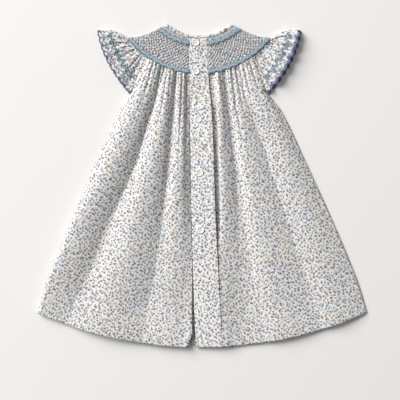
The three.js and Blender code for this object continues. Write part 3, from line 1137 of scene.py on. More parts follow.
@dataclass(frozen=True)
class Fold:
    """A main fold of the skirt, at the yoke, at thirds and at the hem.

    The crest's place and the widths to its left and right are in degrees about the fan's centre.
    """

    crest: Stations
    height: Stations
    left: Stations
    right: Stations
    left_foot: float = 1.7
    right_foot: float = 2.4
    hem_softening: float = 0.4

    def rise(self, degrees: Array, t: Array) -> Array:
        """How far it lifts the cloth.

        Args:
            degrees: each point's angle about the fan's centre.
            t: 0 at the yoke and 1 at the hem.

        Returns:
            The lift at each point.
        """
        offset = degrees - along(self.crest, t)
        width = np.where(offset < 0, along(self.left, t), along(self.right, t))
        share = np.clip(np.abs(offset) / width, 0, 1)
        rounded = 0.5 * (1 + np.cos(math.pi * share))
        creased = 1 - share ** np.where(offset < 0, self.left_foot, self.right_foot)
        return along(self.height, t) * lerp(rounded, creased, 1 - self.hem_softening * t)


@dataclass(frozen=True)
class Gather:
    """A sharp crease under the smocking: where it starts, its drift, length, depth and width."""

    at: float
    drift: float
    length: float
    depth: float
    width: float

    def dip(self, u: Array, t: Array) -> Array:
        """How far it lowers the cloth.

        Args:
            u: 0 at the side and 1 at the placket.
            t: 0 at the yoke and 1 at the hem.

        Returns:
            The dip at each point.
        """
        line = self.at + self.drift * t
        near = np.exp(-((np.abs(u - line) / self.width) ** 1.25))
        return self.depth * near * np.exp(-((t / self.length) ** 1.6))


@dataclass(frozen=True)
class Heights:
    """How high each layer lies."""

    cloth: float = 0.45
    back_yoke_top: float = 2.2
    front_under: float = 1.55
    yoke_under: float = 2.55
    yoke_top: float = 5.2
    underlap_wall: float = 1.1
    placket_wall: float = 1.5
    placket_lift: float = 1.7
    tilt: float = 2.7
    left_band_rise: float = 0.8
    right_band_rise: float = 1.1

    def placket_base(self, y: Array) -> Array:
        """What the placket's layers lie on: the back yoke, then the thinner back skirt."""
        return lerp(self.front_under, self.yoke_under, smoothstep(y, 135, 168))

    def underlap_top(self, y: Array) -> Array:
        """The button stand's face."""
        return self.placket_base(y) + self.underlap_wall

    def placket_top(self, y: Array) -> Array:
        """The placket's face, which the fold under its middle lifts a little."""
        lifted = self.placket_lift * smoothstep(-y, -135, -60) * (1 - 0.5 * smoothstep(-y, 60, 200))
        return self.underlap_top(y) + PLAN.seam_gap + self.placket_wall + lifted

    def placket_tilt(self, x: Array, y: Array) -> Array:
        """How much the placket's face rises towards its right edge, below the yoke."""
        left, right = PLAN.placket.at(Side.LEFT, y), PLAN.placket.at(Side.RIGHT, y)
        return self.tilt * (x - left) / (right - left) * smoothstep(-y, -165, -100)


HEIGHTS = Heights()


@dataclass
class FrontSkirt:
    """One half of the front skirt, with its gathers and folds."""

    side: Side
    finishes: Finishes
    rows: int = 250
    columns: int = 150
    length: float = 430.0
    left_roll: float = 5.0
    right_slope: float = 10.0
    side_drop: float = 0.9
    puff: float = 0.9
    shoulder: float = 3.4
    shoulder_width: float = 24.0
    left_hem_lift: float = 3.8
    right_hem_lift: float = 1.52
    placket_dip: float = 5.8
    left_dip_share: float = 0.2
    dip_width: float = 7.0
    low_dip_width: float = 5.74
    slit_lift: float = 2.6
    slit_lift_width: float = 9.0
    hem_depth: float = 32.0
    hem_wall: float = 0.8
    cut: Pair = (0.30, 0.42)
    cut_area: float = 0.088
    floor: Stations = (4.6, 3.6, 3.2, 3.0)
    folds: tuple[Fold, ...] = (
        Fold((-20.6, -21.6, -23.2, -23.8), (5.4, 10.6, 9, 5), (4.2, 4, 3.2, 2.8), (4.8, 5.4, 4.8, 4.4)),
        Fold((-13.4, -12.7, -13.4, -14.2), (5.6, 9.8, 8.4, 5), (2.4, 3.8, 4.3, 5), (2.8, 4.6, 5.5, 5.6)),
        Fold((-8.2, -5.9, -4.9, -4.6), (4.6, 7.4, 3.4, 2.2), (2.4, 2.4, 3.3, 3.8), (2.8, 3.1, 3, 3)),
        Fold((6.2, 4.5, 3.3, 2.8), (5.2, 6.4, 2.2, 1.2), (1.2, 0.8, 0.8, 0.9), (2.4, 4.1, 4.3, 3.8)),
        Fold((8.4, 8.3, 7.6, 6), (-0.8, -2.2, -1.6, -1), (2, 3, 3, 2.6), (1, 1.2, 1.6, 2)),
        Fold((10.4, 10.9, 11.2, 11.4), (2.8, 5.8, 5.2, 3.8), (2, 2.5, 2.7, 2.8), (4.2, 5.6, 5.6, 5.6)),
        Fold((18.6, 20.4, 20, 19.4), (3.6, 5.2, 4.6, 4), (4, 4.2, 3.4, 2.6), (4, 3.6, 4, 4)),
    )
    left_gathers: tuple[Gather, ...] = (
        Gather(0.06, 0.0, 0.09, 1.9, 0.022),
        Gather(0.14, 0.03, 0.07, 1.4, 0.016),
        Gather(0.215, 0.05, 0.13, 3.4, 0.020),
        Gather(0.3, 0.07, 0.08, 1.8, 0.018),
        Gather(0.385, 0.09, 0.36, 5.8, 0.024),
        Gather(0.46, 0.08, 0.07, 1.7, 0.016),
        Gather(0.53, 0.1, 0.16, 4.2, 0.018),
        Gather(0.62, 0.1, 0.09, 1.9, 0.018),
        Gather(0.714, 0.1, 0.36, 6.0, 0.024),
        Gather(0.785, 0.06, 0.12, 2.4, 0.016),
        Gather(0.854, 0.04, 0.24, 4.8, 0.018),
        Gather(0.946, 0.01, 0.36, 5.0, 0.022),
    )
    right_gathers: tuple[Gather, ...] = (
        Gather(0.095, 0.2, 0.13, 3.6, 0.026),
        Gather(0.17, 0.2, 0.09, 2.8, 0.018),
        Gather(0.245, 0.3, 0.14, 3.6, 0.024),
        Gather(0.34, 0.3, 0.1, 2.8, 0.02),
        Gather(0.42, 0.3, 0.12, 3.4, 0.02),
        Gather(0.514, 0.45, 0.17, 5.2, 0.026),
        Gather(0.59, 0.3, 0.08, 1.9, 0.016),
        Gather(0.664, 0.22, 0.34, 5.8, 0.030),
        Gather(0.76, 0.12, 0.1, 2.3, 0.018),
        Gather(0.857, 0.05, 0.12, 2.6, 0.018),
        Gather(0.953, 0.01, 0.45, 4.3, 0.022),
    )

    def height(self, u: Array, t: Array, plan: Array) -> Array:
        """The outer face over the plan.

        Args:
            u: 0 at the side and 1 at the placket.
            t: 0 at the yoke and 1 at the hem.
            plan: the plan points.

        Returns:
            Z at each point.
        """
        on_left = self.side is Side.LEFT
        degrees = PLAN.angle_about(PLAN.fan_centre, plan)
        gathers = self.left_gathers if on_left else self.right_gathers
        z = along(self.floor, t) + sum(fold.rise(degrees, t) for fold in self.folds)
        z = z + self.puff * np.exp(-((t / 0.2) ** 1.4)) - sum(gather.dip(u, t) for gather in gathers)
        z = z + self.beside_placket(t, plan)
        lift = self.left_hem_lift if on_left else self.right_hem_lift
        z = z + lift * smoothstep(t, 0.86, 1) * smoothstep(u, 0.0, 0.35)
        from_side = from_column(plan, 0)
        if on_left:
            roll = np.sqrt(1 - (1 - np.minimum(from_side / self.left_roll, 1)) ** 2)
        else:
            roll = np.sin(0.5 * math.pi * np.minimum(from_side / self.right_slope, 1))
        seam = HEIGHTS.front_under + HEIGHTS.cloth
        z = np.maximum(z, seam)
        return lerp(z, lerp(seam - self.falls_over(plan), z, roll), self.below_raglan(t))

    def beside_placket(self, t: Array, plan: Array) -> Array:
        """How the cloth dips into the crevice along the placket, and rises next to it.

        Args:
            t: 0 at the yoke and 1 at the hem.
            plan: the plan points.

        Returns:
            The change of height at each point.
        """
        away = from_column(plan, -1)
        width = lerp(self.dip_width, self.low_dip_width, smoothstep(t, 0.02, 0.35))
        dip = self.placket_dip * (1 - 0.8 * smoothstep(t, 0.46, 0.66)) * np.exp(-((away / width) ** 4))
        if self.side is Side.LEFT:
            turned_up = self.slit_lift * smoothstep(-plan[..., 1], 100, 215)
            turned_up = turned_up * np.exp(-((away / self.slit_lift_width) ** 2))
            return turned_up - self.left_dip_share * dip
        slope = np.clip(1 - away / self.shoulder_width, 0, 1) ** 2
        return self.shoulder * slope * smoothstep(t, 0.5, 0.64) - dip

    @staticmethod
    def below_raglan(t: Array) -> Array:
        """0 beside the sleeve and 1 along the side seam."""
        return smoothstep(t, PLAN.raglan_share - 0.04, PLAN.raglan_share + 0.03)

    def falls_over(self, plan: Array) -> Array:
        """How far the side edge drops past the edge of the back, which ends a little inside it."""
        return self.side_drop * (1 - smoothstep(from_column(plan, 0), 0.4, 2.3))

    def build(self) -> bpy.types.Object:
        """Makes the panel as a thin shell on its solid's form.

        Returns:
            The new piece.
        """
        u, t = np.meshgrid(steps(self.columns), steps(self.rows) ** 1.25)
        plan = PLAN.skirt(self.side, u, t)
        outer = raised(plan, self.height(u, t, plan))
        from_hem = (1 - t) * self.length
        above_hem = smoothstep(from_hem, self.hem_depth - 1, self.hem_depth)
        wall = lerp(self.hem_wall, HEIGHTS.cloth, above_hem)
        floor = HEIGHTS.front_under - self.below_raglan(t) * self.falls_over(plan)
        name = f"skirt_front_{self.side.word}_cloth"
        return panel(name, self.finishes.lawn, outer, lined(outer, wall, floor), unrolled(outer))

    def dress(self) -> None:
        """Puts the panel in the frame."""
        piece = self.build()
        stands_for(piece, Slot.PRINTED, f"skirt_front_{self.side.word}")


@dataclass
class BackSkirt:
    """The whole back skirt, flat on the surface."""

    finishes: Finishes
    inset: float = 2.5
    level: float = 0.75
    fine_ripples: float = 22.0
    fine_height: float = 0.22
    broad_ripples: float = 4.5
    broad_height: float = 0.16
    rows: int = 90
    columns: int = 140
    cut: Pair = (0.56, 0.42)
    cut_area: float = 0.165

    def side_edge(self, side: Side, t: Array) -> Array:
        """The back's edge, a little inside the front's.

        Args:
            side: which side.
            t: 0 at the yoke and 1 at the hem.

        Returns:
            The plan point at each t.
        """
        edge = PLAN.skirt_side(side, t)
        edge[..., 0] -= side.value * self.inset * smoothstep(t, PLAN.raglan_share, 0.4)
        edge[..., 1] += self.inset * smoothstep(t, 0.6, 1)
        return edge

    def dress(self) -> None:
        """Makes the panel and puts it in the frame."""
        angle = PLAN.armhole_angle
        corners = [self.side_edge(side, np.array(1.0)) for side in Side]
        ends = [float(PLAN.angle_about(PLAN.fan_centre, corner)) for corner in corners]
        radius = [float(np.linalg.norm(corner - PLAN.fan_centre)) for corner in corners]
        bulge = PLAN.hem_radius - self.inset

        def hem(a: Array) -> Array:
            """The hem, which meets the side edges at its corners."""
            reach = lerp(lerp(radius[0], radius[1], a), bulge, np.minimum(1, 12 * a * (1 - a)))
            return PLAN.arc(PLAN.fan_centre, reach, lerp(ends[0], ends[1], a))

        u, t = np.meshgrid(steps(self.columns), steps(self.rows))
        plan = coons(
            u,
            t,
            lambda a: PLAN.yoke_arc(PLAN.yoke_radius + PLAN.seam_gap, lerp(-angle, angle, a)),
            hem,
            lambda a: self.side_edge(Side.LEFT, a),
            lambda a: self.side_edge(Side.RIGHT, a),
        )
        fine = np.sin(2 * math.pi * self.fine_ripples * u + 1.5 * np.sin(5 * t))
        broad = np.sin(2 * math.pi * self.broad_ripples * u + 2.0 * t)
        ripple = self.fine_height * fine * np.exp(-((t / 0.25) ** 1.4)) + self.broad_height * broad
        outer = raised(plan, self.level + ripple)
        piece = panel("skirt_back_cloth", self.finishes.lawn, outer, raised(plan, 0.0), plan)
        stands_for(piece, Slot.PRINTED, "skirt_back")


@dataclass(frozen=True)
class Smocking:
    """Honeycomb smocking: fine pleats that meet their neighbours in turn."""

    pleat: float = 2.75
    cell: float = 2.9
    middle_radius: float = 110.0
    fullness: float = 2.3
    pleat_width: float = 0.3
    swing: float = 0.4

    def places(self, degrees: Array, radius: Array) -> tuple[Array, Array]:
        """Where points of the yoke are, in pleats across and cells down."""
        cells = (radius - PLAN.band_radius) / self.cell
        return np.radians(degrees) * self.middle_radius / self.pleat, cells

    @staticmethod
    def by_hand(pleats: Array, cells: Array) -> tuple[Array, Array]:
        """The same places, with the small errors of a hand that sews them."""
        pleats = pleats + 0.16 * np.sin(cells * 2.3 + pleats * 0.21) + 0.18 * np.sin(pleats * 0.37 + 2.0)
        return pleats, cells + 0.24 * np.sin(pleats * 0.41 + 1.0) + 0.1 * np.sin(pleats * 1.7 + cells)

    def net(self, pleats: Array, cells: Array) -> Array:
        """The honeycomb itself.

        Args:
            pleats: places across, in pleats.
            cells: places down, in cells.

        Returns:
            0 in a cell and 1 on a pleat.
        """
        best = np.full_like(pleats, np.inf)
        for offset in (-1, 0, 1, 2):
            number = np.floor(pleats) + offset
            lean = self.swing * np.cos(math.pi * cells) * np.where(number % 2 == 0, 1, -1)
            best = np.minimum(best, np.abs(pleats - number - lean))
        return np.exp(-((best / self.pleat_width) ** 2))

    def cloth(self, degrees: Array, radius: Array) -> Array:
        """Cloth coordinates, as wide as the cloth is before it is pleated."""
        return np.stack([np.radians(degrees) * self.middle_radius * self.fullness, radius], -1)


SMOCKING = Smocking()


@dataclass(frozen=True)
class CableBand:
    """A band of cable rows over the yoke, from one share of its depth to another."""

    name: str
    slot: Slot
    start: float
    end: float
    waves: int


@dataclass
class FrontYoke:
    """One half of the smocked front yoke, with its cable rows."""

    side: Side
    finishes: Finishes
    rows: int = 110
    columns: int = 210
    relief: float = 1.5
    plain_relief: float = 0.35
    smocked_from: float = 0.22
    smocked_to: float = 0.9
    shoulder_from: float = 0.92
    cut: Pair = (0.1, 0.0545)
    bands: tuple[CableBand, ...] = (
        CableBand("neck_cable", Slot.PALE_BLUE, 0.11, 0.22, 6),
        CableBand("yoke_cable", Slot.TEAL, 0.9, 0.995, 9),
    )
    wave_depth: float = 1.8
    pale_rows: tuple[Pair, ...] = ((0.0, 1.2), (0.27, 1.3), (0.54, 1.2))
    dark_rows: tuple[Pair, ...] = ((-0.2, 0.6), (0.84, 1.0))
    stitch: CableStitch = CableStitch(pitch=1.426, reach=1.265, lean=0.38, lift=0.35, arch=0.45)

    def face(self) -> tuple[Array, Array]:
        """The outer face.

        Returns:
            Its points and its cloth coordinates.
        """
        s, t = np.meshgrid(steps(self.columns), steps(self.rows))
        plan = PLAN.yoke(self.side, s, t)
        radius = lerp(PLAN.band_radius, PLAN.yoke_radius, t)
        degrees = np.abs(PLAN.angle_about(PLAN.centre, plan))
        past = np.clip((s - self.shoulder_from) / (1 - self.shoulder_from), 0, 1)
        full = np.sqrt(1 - 0.75 * past**2)
        z = lerp(HEIGHTS.yoke_under + HEIGHTS.cloth, HEIGHTS.yoke_top, full)
        pleats, cells = SMOCKING.by_hand(*SMOCKING.places(degrees, radius))
        tension = np.sin(3.1 * pleats + 1.7 * cells) * np.sin(2.3 * cells - 0.9 * pleats)
        net = SMOCKING.net(pleats, cells) * (0.8 + 0.42 * tension)
        smocked = smoothstep(t, self.smocked_from - 0.03, self.smocked_from + 0.02)
        smocked = smocked * (1 - smoothstep(t, self.smocked_to - 0.02, self.smocked_to + 0.03))
        inside = np.minimum(1, np.minimum(s, 1 - s) * 40)
        plain = self.plain_relief * np.abs(np.sin(math.pi * pleats)) * (1 - smocked)
        z = z + inside * (smocked * (net - 0.25) * self.relief + plain)
        return raised(plan, z), SMOCKING.cloth(degrees, radius)

    def dress(self) -> None:
        """Makes the yoke and its stitches, and puts them in the frame."""
        outer, cloth = self.face()
        inner = raised(outer[..., :2], HEIGHTS.yoke_under)
        piece = panel(f"yoke_front_{self.side.word}_cloth", self.finishes.smocked, outer, inner, cloth)
        stands_for(piece, Slot.SMOCKED, f"yoke_front_{self.side.word}")
        for band in self.bands:
            self.cable(outer, band)

    def cable(self, face: Array, band: CableBand) -> None:
        """A band of waved cable rows, pale within and dark along its edges.

        Args:
            face: the yoke's outer face.
            band: where it runs.
        """
        up = normals(face)
        pale, dark = Pile(), Pile()
        for pile, rows in ((pale, self.pale_rows), (dark, self.dark_rows)):
            for share, width in rows:
                self.row(pile, face, up, lerp(band.start, band.end, share), width, band.waves)
        node = f"{band.name}_{self.side.word}"
        stands_for(pale.make(f"{node}_stitches", self.finishes.sky), band.slot, node)
        stands_for(dark.make(f"{node}_outline", self.finishes.teal), band.slot)

    def row(self, pile: Pile, face: Array, up: Array, level: float, width: float, waves: int) -> None:
        """One waved row of cable stitches.

        Args:
            pile: what the stitches join.
            face: the yoke's outer face.
            up: its normals.
            level: where the row runs, as a share of the yoke's depth.
            width: the thread's thickness.
            waves: how many scallops it makes.
        """
        columns = np.linspace(1.0, self.columns - 1.0, 420)
        scallop = np.abs(np.sin(math.pi * waves * columns / self.columns))
        uneven = 1 + 0.35 * np.sin(columns * 0.11 + 3 * level)
        wave = self.wave_depth / PLAN.yoke_depth * (scallop - 0.6) * uneven
        t = np.minimum(level + wave, 0.995)
        line = onto(face, t * self.rows, columns)
        self.stitch.sew(pile, line, onto(up, t * self.rows, columns), width)


@dataclass
class BackYoke:
    """The back yoke, which lies on the surface."""

    finishes: Finishes
    rows: int = 40
    columns: int = 220
    below_top: float = 0.5
    relief: float = 0.45
    cut: Pair = (0.215, 0.056)

    def dress(self) -> None:
        """Makes the panel and puts it in the frame."""
        u, t = np.meshgrid(steps(self.columns, -1.0), steps(self.rows))
        radius = lerp(PLAN.band_radius + PLAN.seam_gap, PLAN.yoke_radius, t)
        degrees = u * PLAN.shoulder_at(radius)
        plan = PLAN.yoke_arc(radius, degrees)
        net = SMOCKING.net(*SMOCKING.places(degrees, radius))
        outer = raised(plan, HEIGHTS.back_yoke_top - self.below_top + self.relief * net)
        cloth = SMOCKING.cloth(degrees, radius)
        piece = panel("yoke_back_cloth", self.finishes.smocked, outer, raised(plan, 0.0), cloth)
        stands_for(piece, Slot.SMOCKED, "yoke_back")


@dataclass
class NeckBand:
    """A rolled strip along the neck, between two angles."""

    finishes: Finishes
    part: str
    start: float
    end: float
    low: float
    high: float
    rings: int = 120
    sides: int = 14
    pucker: float = 0.05
    pucker_pitch: float = 2.2
    cloth_round: float = 1.3
    cut_width: float = 0.0105
    rounding: float = 0.95

    def dress(self) -> None:
        """Makes the strip and puts it in the frame."""
        degrees = np.linspace(self.start, self.end, self.rings + 1)[:, None]
        turn = 2 * math.pi * np.arange(self.sides) / self.sides
        squared = np.sign(np.cos(turn)) * np.abs(np.cos(turn)) ** 0.6
        rise = np.sign(np.sin(turn)) * np.abs(np.sin(turn)) ** 0.7
        pucker = np.radians(degrees) * PLAN.neck_radius / self.pucker_pitch
        puckers = 1 - self.pucker * (1 + np.sin(pucker * 2 * math.pi))
        across = lerp(PLAN.neck_radius, PLAN.band_radius, 0.5 + 0.5 * squared[None, :])
        middle, half = (self.low + self.high) / 2, (self.high - self.low) / 2
        z = middle + half * rise[None, :] * np.where(rise[None, :] > 0, puckers, 1)
        rings = raised(PLAN.yoke_arc(across, degrees), z)
        along_it = np.broadcast_to(np.radians(degrees) * PLAN.band_middle, z.shape)
        cloth = np.stack([along_it, np.broadcast_to(turn * self.cloth_round, z.shape)], -1)
        pile = Pile()
        pile.add(*self.capped(rings, cloth))
        piece = pile.make(f"neck_band_{self.part}_cloth", self.finishes.lawn)
        stands_for(piece, Slot.PRINTED, f"neck_band_{self.part}")
        length = abs(math.radians(self.end - self.start)) * PLAN.band_middle * MM
        half_round = (PLAN.band_radius - PLAN.neck_radius + self.high - self.low) * MM
        area = length * half_round * self.rounding

    @staticmethod
    def capped(rings: Array, cloth: Array) -> tuple[Array, Array, Array]:
        """A tube of rings with its two ends closed by quads.

        Args:
            rings: rings x sides x 3 points.
            cloth: rings x sides x 2 coordinates of the cloth.

        Returns:
            Points, four-cornered faces and cloth coordinates.
        """
        n, k = rings.shape[:2]
        number = np.arange(n * k).reshape(n, k)
        nxt = np.roll(number, -1, axis=1)
        sides = np.stack([number[:-1], nxt[:-1], nxt[1:], number[1:]], -1).reshape(-1, 4)
        ends = []
        for ring, order in ((number[0], 1), (number[-1], -1)):
            for i in range(k // 2 - 1):
                quad = [ring[i], ring[i + 1], ring[k - 2 - i], ring[k - 1 - i]]
                ends.append(quad[::-order])
        faces = np.concatenate([sides, np.array(ends)])
        points = rings.reshape(-1, 3)
        return points, outward(points, faces), cloth.reshape(-1, 2)


def neck_bands(finishes: Finishes) -> list[NeckBand]:
    """The band's three stretches, which meet at the shoulders and at the placket's left edge.

    Args:
        finishes: the dress's finishes.

    Returns:
        The back, left and right stretch.
    """
    top = PLAN.placket.y[0]
    opening = np.array([float(PLAN.placket.at(Side.LEFT, top)), top])
    meet = float(PLAN.angle_about(PLAN.centre, opening))
    end = PLAN.neck_angle
    low, high = HEIGHTS.yoke_under, HEIGHTS.yoke_top
    return [
        NeckBand(finishes, "back", -end, end, 0.0, HEIGHTS.back_yoke_top),
        NeckBand(finishes, "left", -end, meet - PLAN.band_gap, low, high + HEIGHTS.left_band_rise),
        NeckBand(finishes, "right", meet, end, low, high + HEIGHTS.right_band_rise),
    ]


@dataclass
class Placket:
    """The button placket and the button stand under it."""

    finishes: Finishes
    wall: float = 1.2
    rows: int = 260
    soft_edge: float = 0.04
    sewn_at: float = 0.085
    sewn_width: float = 0.02
    sewn_dip: float = 0.28
    button_dip: float = 0.35
    button_dip_width: float = 7.5
    stitch: float = 2.5
    stitch_width: float = 0.42
    stitch_arch: float = 0.12
    stitch_gap: float = 0.22
    stitch_column: float = 3.1
    stand_short: float = 6.0
    stand_drawn_back: float = 2.2
    stand_shorter: float = 0.8
    cut: Pair = (0.034, 0.48)
    stand_cut: Pair = (0.03, 0.475)
    stand_area: float = 0.0125

    def strip(self, left: Edge, right: Edge, acrosses: Array, shorter: float) -> Array:
        """The plan of a strip down the front between two edges.

        Args:
            left, right: each edge's X at each Y.
            acrosses: shares of its width.
            shorter: how far each end stops short of the band and the hem.

        Returns:
            rows x columns x 2 points.
        """
        radius = PLAN.band_radius + PLAN.seam_gap
        share, across = np.meshgrid(steps(self.rows), acrosses, indexing="ij")

        def level(x: Array) -> Array:
            """The rows' levels.

            Args:
                x: X at each point.

            Returns:
                Y at each point.
            """
            high = PLAN.centre[1] - np.sqrt(radius**2 - (x - PLAN.centre[0]) ** 2) - shorter
            low = PLAN.fan_top - np.sqrt(PLAN.hem_radius**2 - x**2) + shorter
            return lerp(high, low, share)

        x = np.zeros_like(share)
        for _ in range(5):
            y = level(x)
            x = lerp(left(y), right(y), across)
        return np.stack([x, level(x)], -1)

    def over(self) -> None:
        """The band that shows, with its two rows of topstitching."""
        middle = np.linspace(0.08, 0.92, 22)
        acrosses = np.concatenate([[0, 0.015, self.soft_edge], middle, [0.96, 0.985, 1]])
        plan = self.strip(
            lambda y: PLAN.placket.at(Side.LEFT, y),
            lambda y: PLAN.placket.at(Side.RIGHT, y),
            acrosses,
            0,
        )
        y = plan[..., 1]
        rim = np.minimum(acrosses, 1 - acrosses)
        rounded = 0.5 * (1 - np.sqrt(np.clip(rim / self.soft_edge, 0, 1)))
        sewn = self.sewn_dip * np.exp(-(((rim - self.sewn_at) / self.sewn_width) ** 2))
        z = HEIGHTS.placket_top(y) - rounded - sewn
        z = z + HEIGHTS.placket_tilt(plan[..., 0], y)
        z = z + 0.12 * np.sin(y / 17.0 + 2 * acrosses) + 0.1 * np.sin(y / 7.1 + 4.0 * acrosses)
        for place in Buttons().places:
            distance = np.linalg.norm(plan - place, axis=-1)
            z = z - self.button_dip * np.exp(-((distance / self.button_dip_width) ** 2))
        outer = raised(plan, z)
        inner = raised(plan, np.maximum(HEIGHTS.underlap_top(y) + PLAN.seam_gap, z - self.wall))
        # The placket takes the lawn with the lighter ground, a painted highlight.
        piece = panel("placket_over_cloth", self.finishes.doubled, outer, inner, unrolled(outer))
        stands_for(piece, Slot.PRINTED, "placket_over")
        threads = Pile()
        for column in (self.stitch_column, len(acrosses) - 1 - self.stitch_column):
            self.topstitch(threads, outer, column)
        sewing = threads.make("placket_topstitching", self.finishes.white)
        stands_for(sewing, Slot.PRINTED)

    def topstitch(self, pile: Pile, face: Array, column: float) -> None:
        """A row of running stitches down the placket.

        Args:
            pile: what the stitches join.
            face: the placket's outer face.
            column: where the row runs, in columns of the face.
        """
        line = onto(face, np.arange(self.rows + 1), column)
        points = at_places(line, spaced(line, self.stitch))
        up = np.tile([0.0, 0.0, 1.0], (len(points) - 1, 1))
        gap = self.stitch_gap * (points[1:] - points[:-1])
        start, end = points[:-1] + gap / 2, points[1:] - gap / 2
        Needle(rings=4).stitches(pile, start, end, up, self.stitch_width, self.stitch_arch)

    def under(self) -> None:
        """The button stand, which shows where the front falls open."""
        plan = self.strip(
            lambda y: PLAN.placket.at(Side.LEFT, y) + self.stand_drawn_back * smoothstep(-y, 97, 140),
            lambda y: PLAN.placket.at(Side.RIGHT, y) - self.stand_short,
            steps(12),
            self.stand_shorter,
        )
        y = plan[..., 1]
        outer = raised(plan, HEIGHTS.underlap_top(y))
        inner = raised(plan, HEIGHTS.placket_base(y))
        piece = panel("placket_under_cloth", self.finishes.lawn, outer, inner, unrolled(outer))
        stands_for(piece, Slot.PRINTED, "placket_under")

    def dress(self) -> None:
        """Makes both layers."""
        self.under()
        self.over()


@dataclass
class Buttons:
    """Five flat two-hole buttons down the placket, with their thread."""

    radius: float = 5.4
    thick: float = 2.2
    below: tuple[Pair, ...] = ((0.0, 0.0), (0.55, 0.0), (0.8, 0.02), (0.92, 0.16), (0.985, 0.4))
    rim: tuple[Pair, ...] = ((1.0, 0.6), (0.985, 0.82), (0.94, 0.96), (0.88, 1.0), (0.81, 0.97))
    dish: tuple[Pair, ...] = ((0.73, 0.84), (0.64, 0.7))
    well: float = 0.5
    well_level: float = 0.63
    well_middle: float = 0.62
    well_rings: int = 12
    inmost: float = 0.25
    hole: float = 0.8
    hole_from_middle: float = 1.35
    hole_depth: float = 0.8
    sunk: float = 0.9
    thread: float = 0.5
    thread_level: float = 0.6
    thread_arch: float = 0.3
    turns: tuple[float, ...] = (82.0, 97.0, 88.0, 101.0, 84.0)
    segments: int = 48
    places: tuple[Pair, ...] = (
        (-9.8, 212.8),
        (-9.3, 170.3),
        (-5.9, 98.6),
        (-4.0, 18.2),
        (-2.3, -66.9),
    )

    def profile(self) -> Array:
        """The turned shape, from the middle below to the middle above.

        Returns:
            A radius and a height in each row.
        """
        shape = np.array([*self.below, *self.rim, *self.dish]) * (self.radius, self.thick)
        inwards = np.linspace(self.well * self.radius, self.inmost, self.well_rings)
        well = [(radius, self.well_level * self.thick) for radius in inwards]
        return np.array([*shape, *well, (0.0, self.well_middle * self.thick)])

    def hole_middles(self, turned: float) -> Array:
        """Where a button's two holes are, about its own middle.

        Args:
            turned: how far it is turned, in degrees.

        Returns:
            The two plan points.
        """
        turn = math.radians(turned)
        reach = self.hole_from_middle * np.array([math.cos(turn), math.sin(turn)])
        return np.stack([-reach, reach])

    def make_one(self, turned: float) -> tuple[Array, Array, Array]:
        """One button about its own middle, with its holes sunk into its face.

        Args:
            turned: how far it is turned, in degrees.

        Returns:
            Points, four-cornered faces and three-cornered faces.
        """
        profile = self.profile()
        turn = 2 * math.pi * np.arange(self.segments) / self.segments
        radius, height = profile[1:-1, :1], profile[1:-1, 1:]
        circle = radius[..., None] * np.stack([np.cos(turn), np.sin(turn)], -1)
        rings = raised(circle, height)
        above = rings[..., 2] > 0.5 * self.thick
        for middle in self.hole_middles(turned):
            away = np.linalg.norm(rings[..., :2] - middle, axis=-1)
            rings[..., 2] -= above * self.hole_depth * (1 - smoothstep(away, 0.6 * self.hole, self.hole))
        tips = [[0, 0, profile[0, 1]], [0, 0, profile[-1, 1]]]
        points = np.concatenate([rings.reshape(-1, 3), tips])
        number = np.arange(radius.size * self.segments).reshape(radius.size, -1)
        nxt = np.roll(number, -1, axis=1)
        quads = np.stack([number[:-1], nxt[:-1], nxt[1:], number[1:]], -1).reshape(-1, 4)
        last = np.full_like(number[0], len(points) - 1)
        low = np.stack([nxt[0], number[0], last - 1], -1)
        high = np.stack([number[-1], nxt[-1], last], -1)
        return points, quads, np.concatenate([low, high])

    def dress(self, finishes: Finishes) -> None:
        """Makes the buttons and the thread between each one's holes.

        Args:
            finishes: the dress's finishes.
        """
        threads = Pile()
        for number, ((x, y), turned) in enumerate(zip(self.places, self.turns), 1):
            level = HEIGHTS.placket_top(np.array(y)) + HEIGHTS.placket_tilt(x, y)
            foot = np.array([x, y, float(level) + PLAN.seam_gap - self.sunk])
            points, quads, triangles = self.make_one(turned)
            pile = Pile()
            pile.add(points + foot, quads, points[:, :2])
            pile.faces.append(triangles)
            piece = pile.make(f"button_{number}_disc", finishes.pearl)
            stands_for(piece, Slot.PEARL, f"button_{number}")
            start, end = self.hole_middles(turned)
            across = np.array([start[1], -start[0]]) / self.hole_from_middle * self.thread * 0.5
            on = self.thread_level * self.thick
            starts = np.array([[*(start + across), on], [*(start - across), on]]) + foot
            ends = np.array([[*(end + across), on], [*(end - across), on]]) + foot
            up = np.tile([0.0, 0.0, 1.0], (2, 1))
            Needle().stitches(threads, starts, ends, up, self.thread, self.thread_arch)
        sewing = threads.make("button_threads", finishes.white)
        stands_for(sewing, Slot.PEARL)


@dataclass(frozen=True)
class Crease:
    """A crease of a sleeve: its place round the seam, width, length and depth."""

    at: float
    width: float
    length: float
    depth: float

    def dip(self, q: Array, t: Array) -> Array:
        """How far it lowers the cloth.

        Args:
            q: 0 at the raglan seam and 1 at the shoulder fold.
            t: 0 at the yoke and 1 at the free edge.

        Returns:
            The dip at each point.
        """
        near = np.exp(-((np.abs(q - self.at) / self.width) ** 1.4))
        return self.depth * near * np.exp(-((t / self.length) ** 2)) * smoothstep(t, 0.0, 0.08)


@dataclass(frozen=True)
class SleeveHang:
    """How one sleeve lies: its creases, its flutes' height, and where its edging runs."""

    creases: tuple[Crease, ...]
    flute_height: float
    edging_from: float
    edging_to: float
    under_beyond: float


